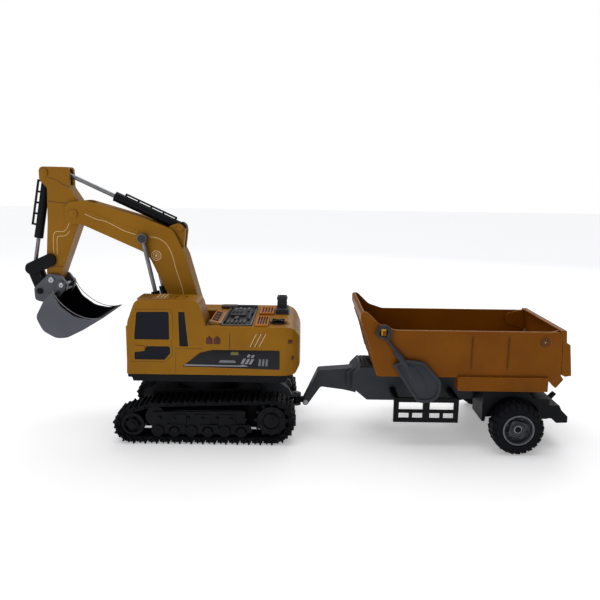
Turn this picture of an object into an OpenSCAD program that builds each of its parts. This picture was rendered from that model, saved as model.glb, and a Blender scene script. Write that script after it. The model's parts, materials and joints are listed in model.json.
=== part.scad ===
// Radio-controlled toy crawler excavator, about 1:24, hitched to its dump trailer.
// The bucket points to -X, the cab is on the -Y (left) side, and the ground is z = 0.
// Side outlines are lists of [x, z, corner radius], measured from the slew axis.
// place() shifts the model so that the origin is under the middle of its box.

/* [Tracks] */
// Distance over both tracks
track_span = 120; // [118:1:124]
// Width of one track
track_width = 28; // [26:1:30]
// Height of one shoe above the track band
shoe_height = 3.5; // [2.5:0.5:4]
// Thickness of the track band
band = 3; // [2:0.5:3]
// Number of shoes on one track
shoes = 36; // [30:1:40]

/* [House] */
// Width of the house over its sides
house_width = 110; // [108:1:112]
// Height of the rear deck above the ground
deck_z = 118; // [116:0.5:119]
// Height of the cab roof above the ground
roof_z = 143; // [141:1:145]
// Width of the slot that the boom stands in
slot_width = 44.4; // [44.4:0.2:46]
// Wall thickness of the moulded shells
wall = 2; // [1.6:0.2:2.4]

/* [Arm] */
// Width of the boom
boom_width = 26; // [25:0.5:26]
// Width of the stick
stick_width = 18; // [17:0.5:18]
// Width of the bucket
bucket_width = 66; // [60:1:70]
// Radius of the polished cylinder rods
rod_r = 2.1; // [1.8:0.1:2.1]
// Radius of the pins at the cylinder ends
pin_r = 2; // [1.6:0.1:2]

/* [Trailer] */
// Width of the dump tub
tub_width = 110; // [106:1:112]
// Height of the tub's side walls above the ground
tub_z = 117; // [112:1:118]
// Outer radius of a trailer tyre
tyre_r = 25.4; // [25:0.1:25.6]
// Width of a trailer tyre
tyre_width = 19; // [17:0.5:20]
// Distance over both trailer tyres
wheel_span = 152; // [148:1:156]

/* [Fits] */
// Running clearance of a pin or shaft in its bore, on the radius
run = 0.06; // [0.04:0.01:0.1]
// Gap between faces that slide past each other
gap = 0.4; // [0.3:0.05:0.5]

/* [Hidden] */
$fn = 48;

// Colours of the plastics and metals
yellow = [0.86, 0.58, 0.12];
orange = [0.86, 0.45, 0.08];
black = [0.06, 0.06, 0.08];
dark_grey = [0.2, 0.21, 0.23];
mid_grey = [0.42, 0.42, 0.44];
steel = [0.7, 0.7, 0.72];

// Lowest and highest x of the whole model, from the slew axis
front_x = -182.03;
rear_x = 360;
shift_x = -(front_x + rear_x) / 2;

// Joint centres of the excavator in the side plane
boom_foot = [-16, 100];
boom_cyl_foot = [-39, 94];
boom_cyl_head = [-61, 198];
stick_cyl_foot = [-25, 208.1];
stick_cyl_head = [-139.5, 260.3];
stick_pivot = [-130, 221];
bucket_cyl_foot = [-158.5, 260.5];
rocker_pivot = [-155.5, 176];
rocker_end = [-177, 165];
coupler_foot = [-167.5, 143];
bucket_pivot = [-155.5, 154.5];
bucket_pin = [-144.5, 149.5];

// Wheel centres of a track as [x, z, outer radius of the shoes round it]
idler = [-67, 18.5, 18.5];
carrier = [-44, 27, 17];
sprocket = [69.5, 24, 24];

// Trailer centres: tow pin, drawbar pin, axle, tub hinge and tailgate hinge
tow_x = 94;
draw_pin = [103.5, 27];
axle = [306, tyre_r];
tub_hinge = [331, 64.5];
gate_hinge = [333, 108];

half_house = house_width / 2;
half_slot = slot_width / 2;
half_boom = boom_width / 2;
half_stick = stick_width / 2;
half_tub = tub_width / 2;
barrel_r = 4.3;
barrel_y = half_boom + barrel_r + gap;
track_in = track_span / 2 - track_width;
base_z = 70;
tub_floor = 71;

// ---- Geometry helpers ----

function unit(v) = v / norm(v);
function side_turn(a, b) = a[0] * b[1] - a[1] * b[0];
function at(p, i) = let (q = p[(i + len(p)) % len(p)]) [q[0], q[1]];
function area(p, i = 0) =
    i == len(p) ? 0 : side_turn(at(p, i), at(p, i + 1)) / 2 + area(p, i + 1);
function short_way(a) = a > 180 ? a - 360 : a < -180 ? a + 360 : a;
function polar(c, r, a) = [c[0] + r * cos(a), c[1] + r * sin(a)];

// Points of one corner: an arc that touches both sides, or the corner itself
function corner(p, i, steps) =
    let (b = at(p, i), u = unit(at(p, i - 1) - b), v = unit(at(p, i + 1) - b), r = p[i][2])
    r <= 0.01 || abs(side_turn(u, v)) < 0.02 ? [b] :
    let (half = acos(u * v) / 2, c = b + unit(u + v) * r / sin(half), t = r / tan(half),
         s = b + u * t - c, e = b + v * t - c,
         a = atan2(s[1], s[0]), sweep = short_way(atan2(e[1], e[0]) - a))
    [for (k = [0 : steps]) polar(c, r, a + sweep * k / steps)];
function rounded(p, steps = 5) = [for (i = [0 : len(p) - 1]) each corner(p, i, steps)];

// The same outline moved inwards by d, with its corner radii kept concentric
function inset(p, d) = let (way = sign(area(p))) [for (i = [0 : len(p) - 1])
    let (b = at(p, i), u = unit(b - at(p, i - 1)), v = unit(at(p, i + 1) - b),
         n = way * [-u[1], u[0]], m = way * [-v[1], v[0]], w = unit(n + m),
         q = b + w * d / (w * n), swell = way * side_turn(u, v) > 0 ? -d : d)
    [q[0], q[1], max(0, p[i][2] + swell)]];

module place() translate([shift_x, 0, 0]) children();
module both_sides() { children(); mirror([0, 1, 0]) children(); }

// A side outline, solid from y0 to y1
module slab(p, y0, y1)
    translate([0, y1, 0]) rotate([90, 0, 0]) linear_extrude(y1 - y0) polygon(rounded(p));

// A round bar along Y at point c of the side plane
module bar(c, r, y0, y1)
    translate([c[0], y1, c[1]]) rotate([90, 0, 0]) cylinder(r = r, h = y1 - y0);

// A box from its lowest to its highest corner
module block(low, high) translate(low) cube(high - low);

// Local +Z runs from a to b in the side plane, at the given y
module along(a, b, y = 0)
    translate([a[0], y, a[1]]) rotate([0, atan2(b[0] - a[0], b[1] - a[1]), 0]) children();

// A plan outline of [x, y, radius], solid from z0 to z1
module plan(p, z0, z1) translate([0, 0, z0]) linear_extrude(z1 - z0) polygon(rounded(p));

// A countersunk-style screw pointing up, its head under z
module screw_up(x, y, z, head_r = 2.6, head = 1.4, shank_r = 1.4, shank = 6) {
    translate([x, y, z - head]) cylinder(r = head_r, h = head);
    translate([x, y, z - 0.01]) cylinder(r = shank_r, h = shank);
}

// ---- Undercarriage ----

tub_x0 = -52;
tub_x1 = 56;
tub_y = 31.5;
tub_top = 48;
turret_r = 32;
turret_z = 60;
spigot_r = 6;
gearbox_x1 = 80;
screw_spots = [[-44, -24], [-44, 24], [50.4, -24], [50.4, 24]];

module chassis_tub() color(black) difference() {
    union() {
        difference() {
            union() {
                block([tub_x0, -tub_y, 10], [tub_x1, tub_y, tub_top]);
                translate([0, 0, tub_top - 1]) cylinder(r = turret_r, h = turret_z - tub_top + 1);
            }
            block([tub_x0 + wall, wall - tub_y, 9], [tub_x1 - wall, tub_y - wall, tub_top - wall]);
            translate([0, 0, 45]) cylinder(r = turret_r - wall, h = turret_z - wall - 45);
        }
        translate([0, 0, tub_top - wall]) cylinder(r = 10, h = turret_z - tub_top + wall);
        for (s = screw_spots) translate([s[0], s[1], 10]) cylinder(r = 3.5, h = 37);
    }
    translate([0, 0, 40]) cylinder(r = spigot_r + run, h = 30);
    for (s = screw_spots) translate([s[0], s[1], 9]) cylinder(r = 1.4, h = 8);
}

module chassis_cover() color(black) difference() {
    union() {
        block([tub_x0, -tub_y, 8], [tub_x1, tub_y, 10]);
        for (i = [0 : 5]) block([-30 + 8 * i, -14, 7.4], [-27 + 8 * i, 14, 8.1]);
    }
    for (s = screw_spots) translate([s[0], s[1], 7]) cylinder(r = 1.4, h = 4);
}

module chassis_screws() color(steel) for (s = screw_spots) screw_up(s[0], s[1], 8);

module drive_motors() color(steel) both_sides() {
    translate([18, -20, 24]) rotate([0, 90, 0]) cylinder(r = 8, h = 28);
    translate([14, -20, 24]) rotate([0, 90, 0]) cylinder(r = 3, h = 4.1);
}

module drive_gearbox() color(black) difference() {
    slab([[tub_x1, 11, 0], [gearbox_x1, 11, 5], [gearbox_x1, 37, 5], [tub_x1, 37, 0]],
         -tub_y, -17);
    bar(sprocket, 3 + run, -tub_y - 1, -22);
}
module left_drive_gearbox() drive_gearbox();
module right_drive_gearbox() mirror([0, 1, 0]) drive_gearbox();

module slew_ring() color(dark_grey) difference() {
    translate([0, 0, turret_z]) cylinder(r = 34, h = 2);
    translate([0, 0, turret_z - 1]) cylinder(r = 24, h = 4);
}

// Block on the chassis tail with a fork for the trailer's tow eye
fork_z = 21.8;
module hitch_bracket() color(mid_grey) difference() {
    union() {
        slab([[tub_x1, 20, 0], [tub_x1, 50, 0], [77, 50, 2], [86, 44, 2], [89, 37, 1], [81, 31, 0],
              [81, 20, 0]], -16.5, 16.5);
        for (z = [fork_z, fork_z + 10])
            plan([[78, -8, 0], [98.5, -5, 5], [98.5, 5, 5], [78, 8, 0]], z, z + 2.2);
    }
    translate([tow_x, 0, 10]) cylinder(r = 1.5, h = 40);
    translate([tow_x, 0, fork_z + 12.2]) cylinder(r = 14, h = 20);
    translate([tow_x, 0, fork_z + 2.2]) cylinder(r = 9, h = 7.8);
}

module tow_pin() color(steel) translate([tow_x, 0, fork_z - 1.4]) {
    cylinder(r = 1.5, h = 14);
    translate([0, 0, 13.6]) cylinder(r = 2.8, h = 1.4);
    cylinder(r = 2.3, h = 1.4);
}

// Inner plate, beam and moulded rollers of one side, with the idler's axle
belt_in = shoe_height + band;
module track_frame() color(black) difference() {
    union() {
        slab([[-76, 12, 7], [-76, 26, 7], [-46, 36, 6], [48, 38, 6], [76, 32, 8], [76, 14, 8],
              [58, 8.5, 2], [-60, 8.5, 2]], -tub_y - 2.5, -tub_y);
        slab([[-49, 9.5, 2], [-46, 32, 4], [-20, 34, 2], [44, 35, 4], [44, 9.5, 2]],
             -track_span / 2 + 3.5, -tub_y - 2.4);
        for (i = [0 : 5])
            bar([-42 + 16.4 * i, belt_in + 6.4], 6, -track_span / 2 + 2.5, -tub_y - 2.4);
        bar(carrier, carrier[2] - belt_in - gap, -track_span / 2 + 4, -tub_y - 2.4);
        bar(idler, 2.5, -track_span / 2 + 2, -tub_y - 2.4);
        for (i = [0 : 2]) block([-30 + 24 * i, -track_span / 2 + 2.6, 20],
                                [-14 + 24 * i, -track_span / 2 + 4, 30]);
    }
    bar(sprocket, 3 + run, -tub_y - 5, -tub_y + 2);
}
module left_track_frame() track_frame();
module right_track_frame() mirror([0, 1, 0]) track_frame();

// The belt's path is the tight loop round idler, carrier and sprocket.
// It runs clockwise in the side plane, so its outer side is on the left.
loop = [idler, carrier, sprocket];
function run_angle(i) =
    let (a = loop[i % 3], b = loop[(i + 1) % 3], d = at([b], 0) - at([a], 0))
    atan2(d[1], d[0]) + asin((b[2] - a[2]) / norm(d));
function tangent(i, which, grow) =
    let (c = loop[(i + which) % 3]) polar(c, c[2] + grow, run_angle(i) + 90);
function run_length(i) = norm(tangent(i, 1, 0) - tangent(i, 0, 0));
// Angle turned round wheel i + 1, between run i and run i + 1
function wheel_turn(i) = let (t = run_angle(i) - run_angle(i + 1)) t < 0 ? t + 360 : t;
function wrap_length(i) = wheel_turn(i) * PI / 180 * loop[(i + 1) % 3][2];
function belt_length() =
    run_length(0) + run_length(1) + run_length(2) + wrap_length(0) + wrap_length(1) + wrap_length(2);
// Point and outward angle at distance s along the loop
function belt_spot(s, i = 0) =
    s <= run_length(i) ?
        [tangent(i, 0, 0) + (tangent(i, 1, 0) - tangent(i, 0, 0)) * s / run_length(i),
         run_angle(i) + 90] :
    s <= run_length(i) + wrap_length(i) ?
        let (c = loop[(i + 1) % 3], a = run_angle(i) + 90 - (s - run_length(i)) / c[2] * 180 / PI)
        [polar(c, c[2], a), a] :
    belt_spot(s - run_length(i) - wrap_length(i), i + 1);
function belt_outline(grow, steps = 16) = [for (i = [0 : 2]) each concat([tangent(i, 0, grow)],
    [for (k = [0 : steps]) let (c = loop[(i + 1) % 3])
        polar(c, c[2] + grow, run_angle(i) + 90 - wheel_turn(i) * k / steps)])];

module track_belt() color(black)
    translate([0, -track_in, 0]) rotate([90, 0, 0]) linear_extrude(track_width) {
        difference() {
            polygon(belt_outline(-shoe_height));
            polygon(belt_outline(-belt_in));
        }
        for (i = [0 : shoes - 1]) let (spot = belt_spot((i + 0.5) * belt_length() / shoes))
            translate(spot[0]) rotate(spot[1] - 90)
                polygon([[-4.6, -shoe_height - 0.8], [-4, 0], [4, 0], [4.6, -shoe_height - 0.8]]);
    }
module left_track_belt() track_belt();
module right_track_belt() mirror([0, 1, 0]) track_belt();

wheel_y0 = -track_span / 2 + 4;
wheel_y1 = -tub_y - 2.5 - gap;
module track_sprocket() color(dark_grey) {
    bar(sprocket, 3, wheel_y1 - 1, -23);
    difference() {
        union() {
            bar(sprocket, sprocket[2] - belt_in - 3.4, wheel_y0, wheel_y1);
            for (i = [0 : 11]) along(sprocket, polar(sprocket, 10, i * 30))
                translate([-1.6, wheel_y0 + 2, 0]) cube([3.2, 14, sprocket[2] - belt_in - gap]);
        }
        bar(sprocket, 9, wheel_y0 - 1, wheel_y0 + 2);
    }
    bar(sprocket, 4, wheel_y0 - 0.5, wheel_y0 + 3);
}
module left_sprocket() track_sprocket();
module right_sprocket() mirror([0, 1, 0]) track_sprocket();

module track_idler() color(dark_grey) difference() {
    bar(idler, idler[2] - belt_in - gap, wheel_y0, wheel_y1);
    bar(idler, 2.5 + run, wheel_y0 - 1, wheel_y1 + 1);
    bar(idler, 8.5, wheel_y0 - 1, wheel_y0 + 2.5);
    for (i = [0 : 4]) bar(polar(idler, 6.4, i * 72), 1.6, wheel_y0 - 1, wheel_y0 + 5);
}
module left_idler() track_idler();
module right_idler() mirror([0, 1, 0]) track_idler();

// ---- House ----

house_front = -71;
house_rear = 97;
// Side outline of the house under the deck, and of its plan
house_side = [[house_front, base_z, 1], [92, base_z, 4], [house_rear, 78, 8], [house_rear, 104, 10],
              [90, deck_z, 12], [house_front, deck_z, 2]];
house_plan = [[house_front, -half_house, 2], [house_rear, -half_house, 20],
              [house_rear, half_house, 20], [house_front, half_house, 6]];
button_x = 75;
button_y = -36;
base_screws = [[-60, -44], [-60, 44], [20, -46], [20, 46], [78, -30], [78, 30]];
// Side outline of the cab, with its step over the house's front corner
cab_side = [[house_front, base_z, 1], [-24, base_z, 0], [-24, 96, 0], [5, 96, 0], [6, deck_z, 0],
            [-1, roof_z, 7], [-61, roof_z, 7], [-69, 122, 20]];
cab_in_y = -half_slot;
// Openings of the cab's left side: door window, lower window and rear window
door_window = [[-63, 104.5, 1.5], [-29, 104.5, 1.5], [-29, 132, 2], [-60, 131.5, 2]];
low_window = [[-63, 84.5, 1], [-34, 84.5, 1], [-28.5, 91, 2], [-28.5, 98, 2], [-51.5, 98, 1],
              [-53.5, 93, 1], [-63, 92, 1]];
rear_window = [[-19.5, 98, 0.5], [-11, 98, 0.5], [-14, 132, 0.5], [-20, 132, 0.5]];

base_low = 62.4;
module house_base() color(black) difference() {
    union() {
        slab([[-65.5, base_low, 1], [82, base_low, 1], [87, base_z, 0], [-70.5, base_z, 0],
              [-70.5, 66.5, 0.5], [-66.5, 66, 0.5]], 2 - half_house, half_house - 2);
        translate([0, 0, turret_z + 2.3]) cylinder(r = 34, h = 3);
        translate([0, 0, 45.8]) cylinder(r = spigot_r, h = 20);
    }
    block([-62, 6 - half_house, 66], [80, half_house - 6, 75]);
    translate([0, 0, 44]) cylinder(r = 1.4, h = 12);
    for (s = base_screws) translate([s[0], s[1], 60]) cylinder(r = 1.4, h = 8);
}

// Washer and screw under the chassis turret that hold the house down
module slew_retainer() color(steel) difference() {
    union() {
        translate([0, 0, 44]) cylinder(r = 9, h = 1.7);
        translate([0, 0, 42.6]) cylinder(r = 3.4, h = 1.5);
        translate([0, 0, 44]) cylinder(r = 1.4, h = 11);
    }
    block([-4, -0.4, 42], [4, 0.4, 43.4]);
}

module boom_slot(grow) block([house_front - 5, -half_slot - grow, 84 - grow],
                             [9 + grow, half_slot + grow, roof_z + 20]);

module house_shell() color(yellow) difference() {
    intersection() {
        slab(house_side, -half_house, half_house);
        plan(house_plan, base_z, deck_z + 5);
    }
    boom_slot(0);
    difference() {
        intersection() {
            slab(inset(house_side, wall), -half_house, half_house);
            plan(inset(house_plan, wall), base_z - 5, deck_z + 5);
        }
        boom_slot(wall);
        block([-26, -half_house, base_z - 5], [7, cab_in_y - wall, 100]);
        for (s = base_screws) translate([s[0], s[1], base_z - 1]) cylinder(r = 4, h = 60);
        translate([button_x, button_y, deck_z - 5]) cylinder(r = 10.6, h = 6);
    }
    block([house_front + 3, wall - half_house + 1, base_z - 1],
          [82, half_house - wall - 1, base_z + wall + 0.5]);
    slab(cab_side, -half_house - 1, cab_in_y + 0.01);
    bar(boom_foot, 2.5, -half_slot - wall, half_slot + wall);
    both_sides() bar(boom_cyl_foot, pin_r, -half_slot - wall, 0);
    // Recesses for the engine cover, the button and the stack
    block([20, -50, deck_z - 0.8], [50, 36, deck_z + 1]);
    translate([button_x, button_y, deck_z - 3]) cylinder(r = 8.2 + gap, h = 5);
    translate([button_x, button_y, deck_z - 10]) cylinder(r = 3.2 + run, h = 10);
    // Seam and cooling slots in the left side
    block([28.6, -half_house - 1, 95], [29.4, 0.5 - half_house, 112]);
    for (i = [0 : 2]) slab([[49 + 4 * i, 98, 0], [50.6 + 4 * i, 98, 0], [55.6 + 4 * i, 112, 0],
                            [54 + 4 * i, 112, 0]], -half_house - 1, 0.6 - half_house);
}

module cab_shell() color(yellow) difference() {
    slab(cab_side, -half_house, cab_in_y);
    slab(inset(cab_side, wall), wall - half_house, cab_in_y - wall);
    block([house_front + wall, wall - half_house, base_z - 1], [-24 - wall, cab_in_y - wall, 80]);
    for (w = [door_window, low_window, rear_window]) slab(w, -half_house - 1, 5 - half_house);
    // Windscreen, inner side window and roof grooves
    block([-80, 6 - half_house, 92], [-58, cab_in_y - 5, 131]);
    slab([[-60, 122, 2], [-20, 122, 2], [-20, 135, 2], [-57, 135, 2]], cab_in_y - 5, cab_in_y + 1);
    for (x = [-26, -17]) block([x, -48, roof_z - 0.8], [x + 3, -30, roof_z + 1]);
    bar(boom_foot, 2.5, cab_in_y - wall, cab_in_y + 1);
    bar(boom_cyl_foot, pin_r, cab_in_y - wall, cab_in_y + 1);
}

// Panes stand in their openings just inside the shell's outer faces
module cab_windows() color([0.05, 0.06, 0.12]) {
    for (w = [door_window, low_window, rear_window]) slab(w, 0.5 - half_house, wall - half_house);
    intersection() {
        difference() {
            slab(inset(cab_side, 0.5), 6 - half_house, cab_in_y - 5);
            slab(inset(cab_side, wall), 5 - half_house, cab_in_y - 4);
        }
        block([-80, 6 - half_house, 92], [-58, cab_in_y - 5, 131]);
    }
    slab([[-60, 122, 2], [-20, 122, 2], [-20, 135, 2], [-57, 135, 2]], cab_in_y - wall,
         cab_in_y - 0.4);
}

// Ridged vent and framed roof hatch on the cab
module roof_fittings() color(dark_grey) {
    block([-59, -50, roof_z], [-50, -27, roof_z + 1]);
    for (i = [0 : 3]) block([-58.4 + 2.2 * i, -49, roof_z + 0.9], [-57 + 2.2 * i, -28, roof_z + 1.7]);
    difference() {
        plan([[-45, -50, 2], [-31, -50, 2], [-31, -26, 2], [-45, -26, 2]], roof_z, roof_z + 1.2);
        plan([[-43, -48, 1], [-33, -48, 1], [-33, -28, 1], [-43, -28, 1]], roof_z + 0.5, roof_z + 2);
    }
}

// Relief of a mock engine: plate, block, pipes and ribs in one moulding
module engine_cover() color(dark_grey) {
    block([20, -50, deck_z - 0.8], [50, 36, deck_z + 0.8]);
    block([25, -14, deck_z + 0.7], [41, 6, deck_z + 3]);
    block([24, 12, deck_z + 0.7], [46, 30, deck_z + 2]);
    for (i = [0 : 4]) block([25 + 4 * i, -46, deck_z + 0.7], [27 + 4 * i, -34, deck_z + 2.2]);
    translate([45, -30, deck_z + 2]) rotate([-90, 0, 0]) cylinder(r = 1.5, h = 40);
    for (y = [-28, -22]) translate([33, y, deck_z + 0.7]) cylinder(r = 2.4, h = 2);
    translate([11, 33, deck_z + 2.4]) rotate([0, 90, 0]) cylinder(r = 2, h = 39);
}

module vent_grille(x0, x1, y0, y1) difference() {
    block([x0, y0, deck_z], [x1, y1, deck_z + 2.2]);
    for (i = [0 : 3]) let (x = x0 + (x1 - x0) * (i + 0.7) / 4.9)
        block([x, y0 + 3, deck_z + 0.8], [x + 1.7, y1 - 3, deck_z + 3]);
}
module vent_grilles() color(orange) {
    vent_grille(53, 65.5, -53, -12);
    vent_grille(54, 69, 1, 36);
    difference() {
        slab([[8.5, deck_z, 0], [18, deck_z, 0], [18, deck_z + 1.5, 0.5], [8.5, deck_z + 4, 1]],
             -44, 8);
        for (y = [-40, -29, -18, -7]) block([10, y, deck_z + 2.6], [16, y + 9, deck_z + 5]);
    }
}

module exhaust_stack() color(dark_grey) difference() {
    union() {
        block([71, 6, deck_z], [84, 32, deck_z + 5]);
        block([72, 16, deck_z + 4.9], [82, 28, deck_z + 17]);
        block([71.4, 15.4, deck_z + 14], [82.6, 28.6, deck_z + 15.4]);
    }
    block([74, 18, deck_z + 12], [80, 26, deck_z + 20]);
}

module battery_pack() color([0.1, 0.25, 0.5]) for (i = [0 : 2])
    translate([45 + 14.4 * i, 25, 73.5]) rotate([90, 0, 0]) cylinder(r = 7, h = 50);

module circuit_board() color([0.05, 0.35, 0.15]) {
    block([14, -25, 90], [80, 25, 91.6]);
    block([24, -20, 91.5], [38, -6, 94]);
    block([50, 2, 91.5], [60, 14, 99]);
    for (x = [16, 36]) for (y = [-23, 23])
        translate([x - 1, y - 1, 66]) cube([2, 2, 24.1]);
}

module slew_motor() color(steel) {
    translate([26, 0, 66]) cylinder(r = 10, h = 3);
    translate([26, 0, 68.9]) cylinder(r = 8, h = 17);
}

// Boom foot pin, the two cylinder foot pins and the base screws
module house_pins() color(steel) {
    bar(boom_foot, 2.5, -half_slot - wall, half_slot + wall);
    both_sides() bar(boom_cyl_foot, pin_r, -half_slot - wall, -half_boom - 0.6);
    for (s = base_screws) screw_up(s[0], s[1], base_low, head = 1.3, shank = 4);
}

module power_button() color(black) {
    translate([button_x, button_y, deck_z - 1.5]) cylinder(r = 8.2, h = 5.3);
    translate([button_x, button_y, deck_z - 8]) cylinder(r = 3.2, h = 7);
}

// ---- Boom ----

boom_side = [[-26, 92, 9.5], [-6, 92, 9.5], [-2, 118, 20], [-19, 180, 20], [-31, 206, 14],
             [-66, 219.5, 40], [-119, 234.5, 16], [-138, 232, 7], [-139, 212, 9], [-122, 210.5, 12],
             [-57, 182, 20], [-37, 139, 30], [-30, 118, 10]];
fork_x = -110;
module boom_bores() {
    bar(boom_foot, 2.5 + run, -50, 50);
    bar(boom_cyl_head, pin_r, -50, 50);
    bar(stick_pivot, 2.5, -50, 50);
}
// One moulded half with its cheek of the fork and its cylinder lug, on the -Y side
module boom_half() color(yellow) difference() {
    union() {
        difference() {
            slab(boom_side, -half_boom, 0);
            difference() {
                slab(inset(boom_side, wall), wall - half_boom, 1);
                for (c = [boom_foot, boom_cyl_head]) bar(c, 6.8, -half_boom, 0);
                block([fork_x, -half_boom, 190], [fork_x + wall, 0, 250]);
            }
        }
        slab([[-36, 201, 0], [-22, 187, 0], [-19.5, 207, 5], [-25.5, 213.5, 6], [-36, 210, 3]],
             -9, -5.2);
        // Raised rib along the flank and ring round the rod pin
        slab([[-117, 222, 0], [-66, 203, 0], [-66, 205, 0], [-117, 224, 0]],
             -half_boom - 0.5, 0.1 - half_boom);
    }
    block([-160, -half_stick - gap, 190], [fork_x, 1, 250]);
    slab([[-80, 240, 0], [-20, 224, 0], [-14, 192, 0], [-31, 197.5, 2], [-40, 207.2, 2],
          [-80, 225.6, 0]], -5.2, 1);
    boom_bores();
    bar(stick_cyl_foot, pin_r, -20, 1);
}
module boom_left_half() boom_half();
module boom_right_half() mirror([0, 1, 0]) boom_half();

// Stick pivot, rod pin and stick cylinder foot pin, with their heads
module boom_pins() color(steel) {
    bar(stick_pivot, 2.5, -half_boom, half_boom);
    bar(stick_cyl_foot, pin_r, -9, 9);
    bar(boom_cyl_head, pin_r, -half_boom - 9.2, half_boom + 9.2);
    both_sides() bar(stick_pivot, 4, -half_boom - 1, -half_boom);
    both_sides() bar(stick_cyl_foot, 3, -10.2, -9);
}

// ---- Cylinders ----

// A barrel from its foot eye along local +Z, with a bore wide enough for the rod's small sway
module barrel(length, r, bore_r, eye_half) difference() {
    union() {
        translate([0, 0, 2]) cylinder(r = r, h = length - 2);
        rotate([90, 0, 0]) translate([0, 0, -eye_half]) cylinder(r = r + 0.6, h = 2 * eye_half);
        translate([0, 0, length - 8]) cylinder(r = r + 0.1, h = 8);
    }
    rotate([90, 0, 0]) cylinder(r = pin_r + run, h = 4 * r, center = true);
    translate([0, 0, 12]) cylinder(r = bore_r, h = length);
}

// A rod from its head eye along local +Z, into the barrel
module rod(length, r, eye_r, eye_half) difference() {
    union() {
        cylinder(r = r, h = length);
        rotate([90, 0, 0]) cylinder(r = eye_r, h = 2 * eye_half, center = true);
    }
    rotate([90, 0, 0]) cylinder(r = pin_r + run, h = 6 * eye_half, center = true);
}

module boom_cylinder_barrels() color(black) both_sides()
    along(boom_cyl_foot, boom_cyl_head, -barrel_y) barrel(52, barrel_r - 0.1, 3.45, barrel_r - 0.3);

module boom_cylinder_rods() color(mid_grey) both_sides()
    along(boom_cyl_head, boom_cyl_foot, -barrel_y) rod(69, rod_r, 4.6, barrel_r - 0.3);

module guarded_barrel(length, r, bore_r, eye_half, d, z0, z1) difference() {
    union() {
        barrel(length, r, bore_r, eye_half);
        ladder(d, z0, z1);
    }
    translate([0, 0, 12]) cylinder(r = bore_r, h = length);
}
// Ladder-shaped guard: a rail and five rungs, standing off by d on local X
module ladder(d, z0, z1) {
    translate([d, -1.2, z0]) cube([1.6, 2.4, z1 - z0]);
    for (i = [0 : 4]) translate([3.9, -1.2, z0 + (z1 - z0 - 1.8) * i / 4]) cube([d - 2.3, 2.4, 1.8]);
}

module stick_cylinder_barrel() color(black) along(stick_cyl_foot, stick_cyl_head)
    guarded_barrel(73, 4.9, 3.8, 4.8, 5.8, 8, 64);
module stick_cylinder_rod() color(mid_grey) along(stick_cyl_head, stick_cyl_foot)
    rod(65, rod_r, 3.8, 3.6);
module bucket_cylinder_barrel() color(black) along(bucket_cyl_foot, rocker_end)
    guarded_barrel(66, 4.3, 3.2, 4.8, 7, 8, 54);
module bucket_cylinder_rod() color(mid_grey) along(rocker_end, bucket_cyl_foot)
    rod(38, rod_r - 0.2, 4, 3.6);

// ---- Stick and bucket ----

stick_side = [[-163.5, 266.8, 4.5], [-134, 266.5, 3], [-134, 247, 3], [-125, 233, 8], [-126.3, 210, 12],
              [-133, 193, 20], [-150.6, 148.5, 4.6], [-161.5, 148.5, 5], [-161, 172, 10],
              [-157.5, 213, 0], [-156.2, 246, 2], [-163.5, 254, 4]];
module stick_half() color(yellow) difference() {
    slab(stick_side, -half_stick, 0);
    difference() {
        slab(inset(stick_side, wall), wall - half_stick, 1);
        for (c = [stick_pivot, rocker_pivot, bucket_pivot]) bar(c, 5, -half_stick, 0);
        block([-170, -half_stick, 234], [-146, 0, 236.2]);
        block([-146, -half_stick, 245.6], [-120, 0, 247.6]);
        block([-151.2, -half_stick, 234], [-146, 0, 268]);
    }
    // Seats of the two cylinder eyes
    block([-144.6, -4.2, 249], [-120, 1, 265]);
    block([-170, -5.3, 238], [-153, 1, 269]);
    bar(stick_cyl_head, pin_r, -20, 1);
    bar(bucket_cyl_foot, pin_r, -20, 1);
    bar(stick_pivot, 2.5 + run, -20, 1);
    bar(rocker_pivot, pin_r + run, -20, 1);
    bar(bucket_pivot, pin_r + run, -20, 1);
}
module stick_left_half() stick_half();
module stick_right_half() mirror([0, 1, 0]) stick_half();

module stick_pins() color(steel) {
    bar(stick_cyl_head, pin_r, -half_stick, half_stick);
    bar(bucket_cyl_foot, pin_r, -half_stick, half_stick);
    both_sides() bar(bucket_cyl_foot, 3.6, -half_stick - 1.2, -half_stick);
}

// Two plates outside the stick, joined by their pins
rocker_y = half_stick + gap;
module rocker() color(black) {
    both_sides() difference() {
        slab([[-151, 180, 5], [-151, 170, 5], [-176, 159, 5], [-183, 162, 5.5], [-181, 170, 5],
              [-158.5, 180.5, 5]], -rocker_y - 2.8, -rocker_y);
        bar(rocker_end, pin_r, -30, 0);
    }
    bar(rocker_pivot, pin_r, -rocker_y - 0.1, rocker_y + 0.1);
    bar(rocker_end, pin_r, -rocker_y - 2.8, rocker_y + 2.8);
}

// Two thin plates between the rod eye and the rocker plates
module coupler_link() color(black) both_sides() difference() {
    slab([[-182, 166, 4.6], [-173, 168.5, 4.4], [-163, 141.8, 4.4], [-172, 138, 4.8]], -8.8, -4.4);
    bar(rocker_end, pin_r + run, -30, 0);
    bar(coupler_foot, pin_r + 0.8, -30, 0);
}

bracket_side = [[-173, 133.5, 4], [-165, 131.5, 3], [-152, 143, 2], [-141.5, 142.5, 3], [-139.8, 150, 2],
                [-146, 159, 4], [-158, 160.5, 5], [-173.5, 146, 4]];
module bucket_bracket() color(mid_grey) difference() {
    union() {
        both_sides() slab(bracket_side, -13.5, -rocker_y);
        slab([[-151.4, 143.6, 0.5], [-142.4, 143.2, 1], [-142, 146, 1], [-149, 146.2, 0.5]],
             -rocker_y - 0.1, rocker_y + 0.1);
    }
    for (c = [bucket_pivot, coupler_foot]) bar(c, pin_r, -20, 20);
    bar(bucket_pin, 1.8, -20, 20);
}

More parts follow.
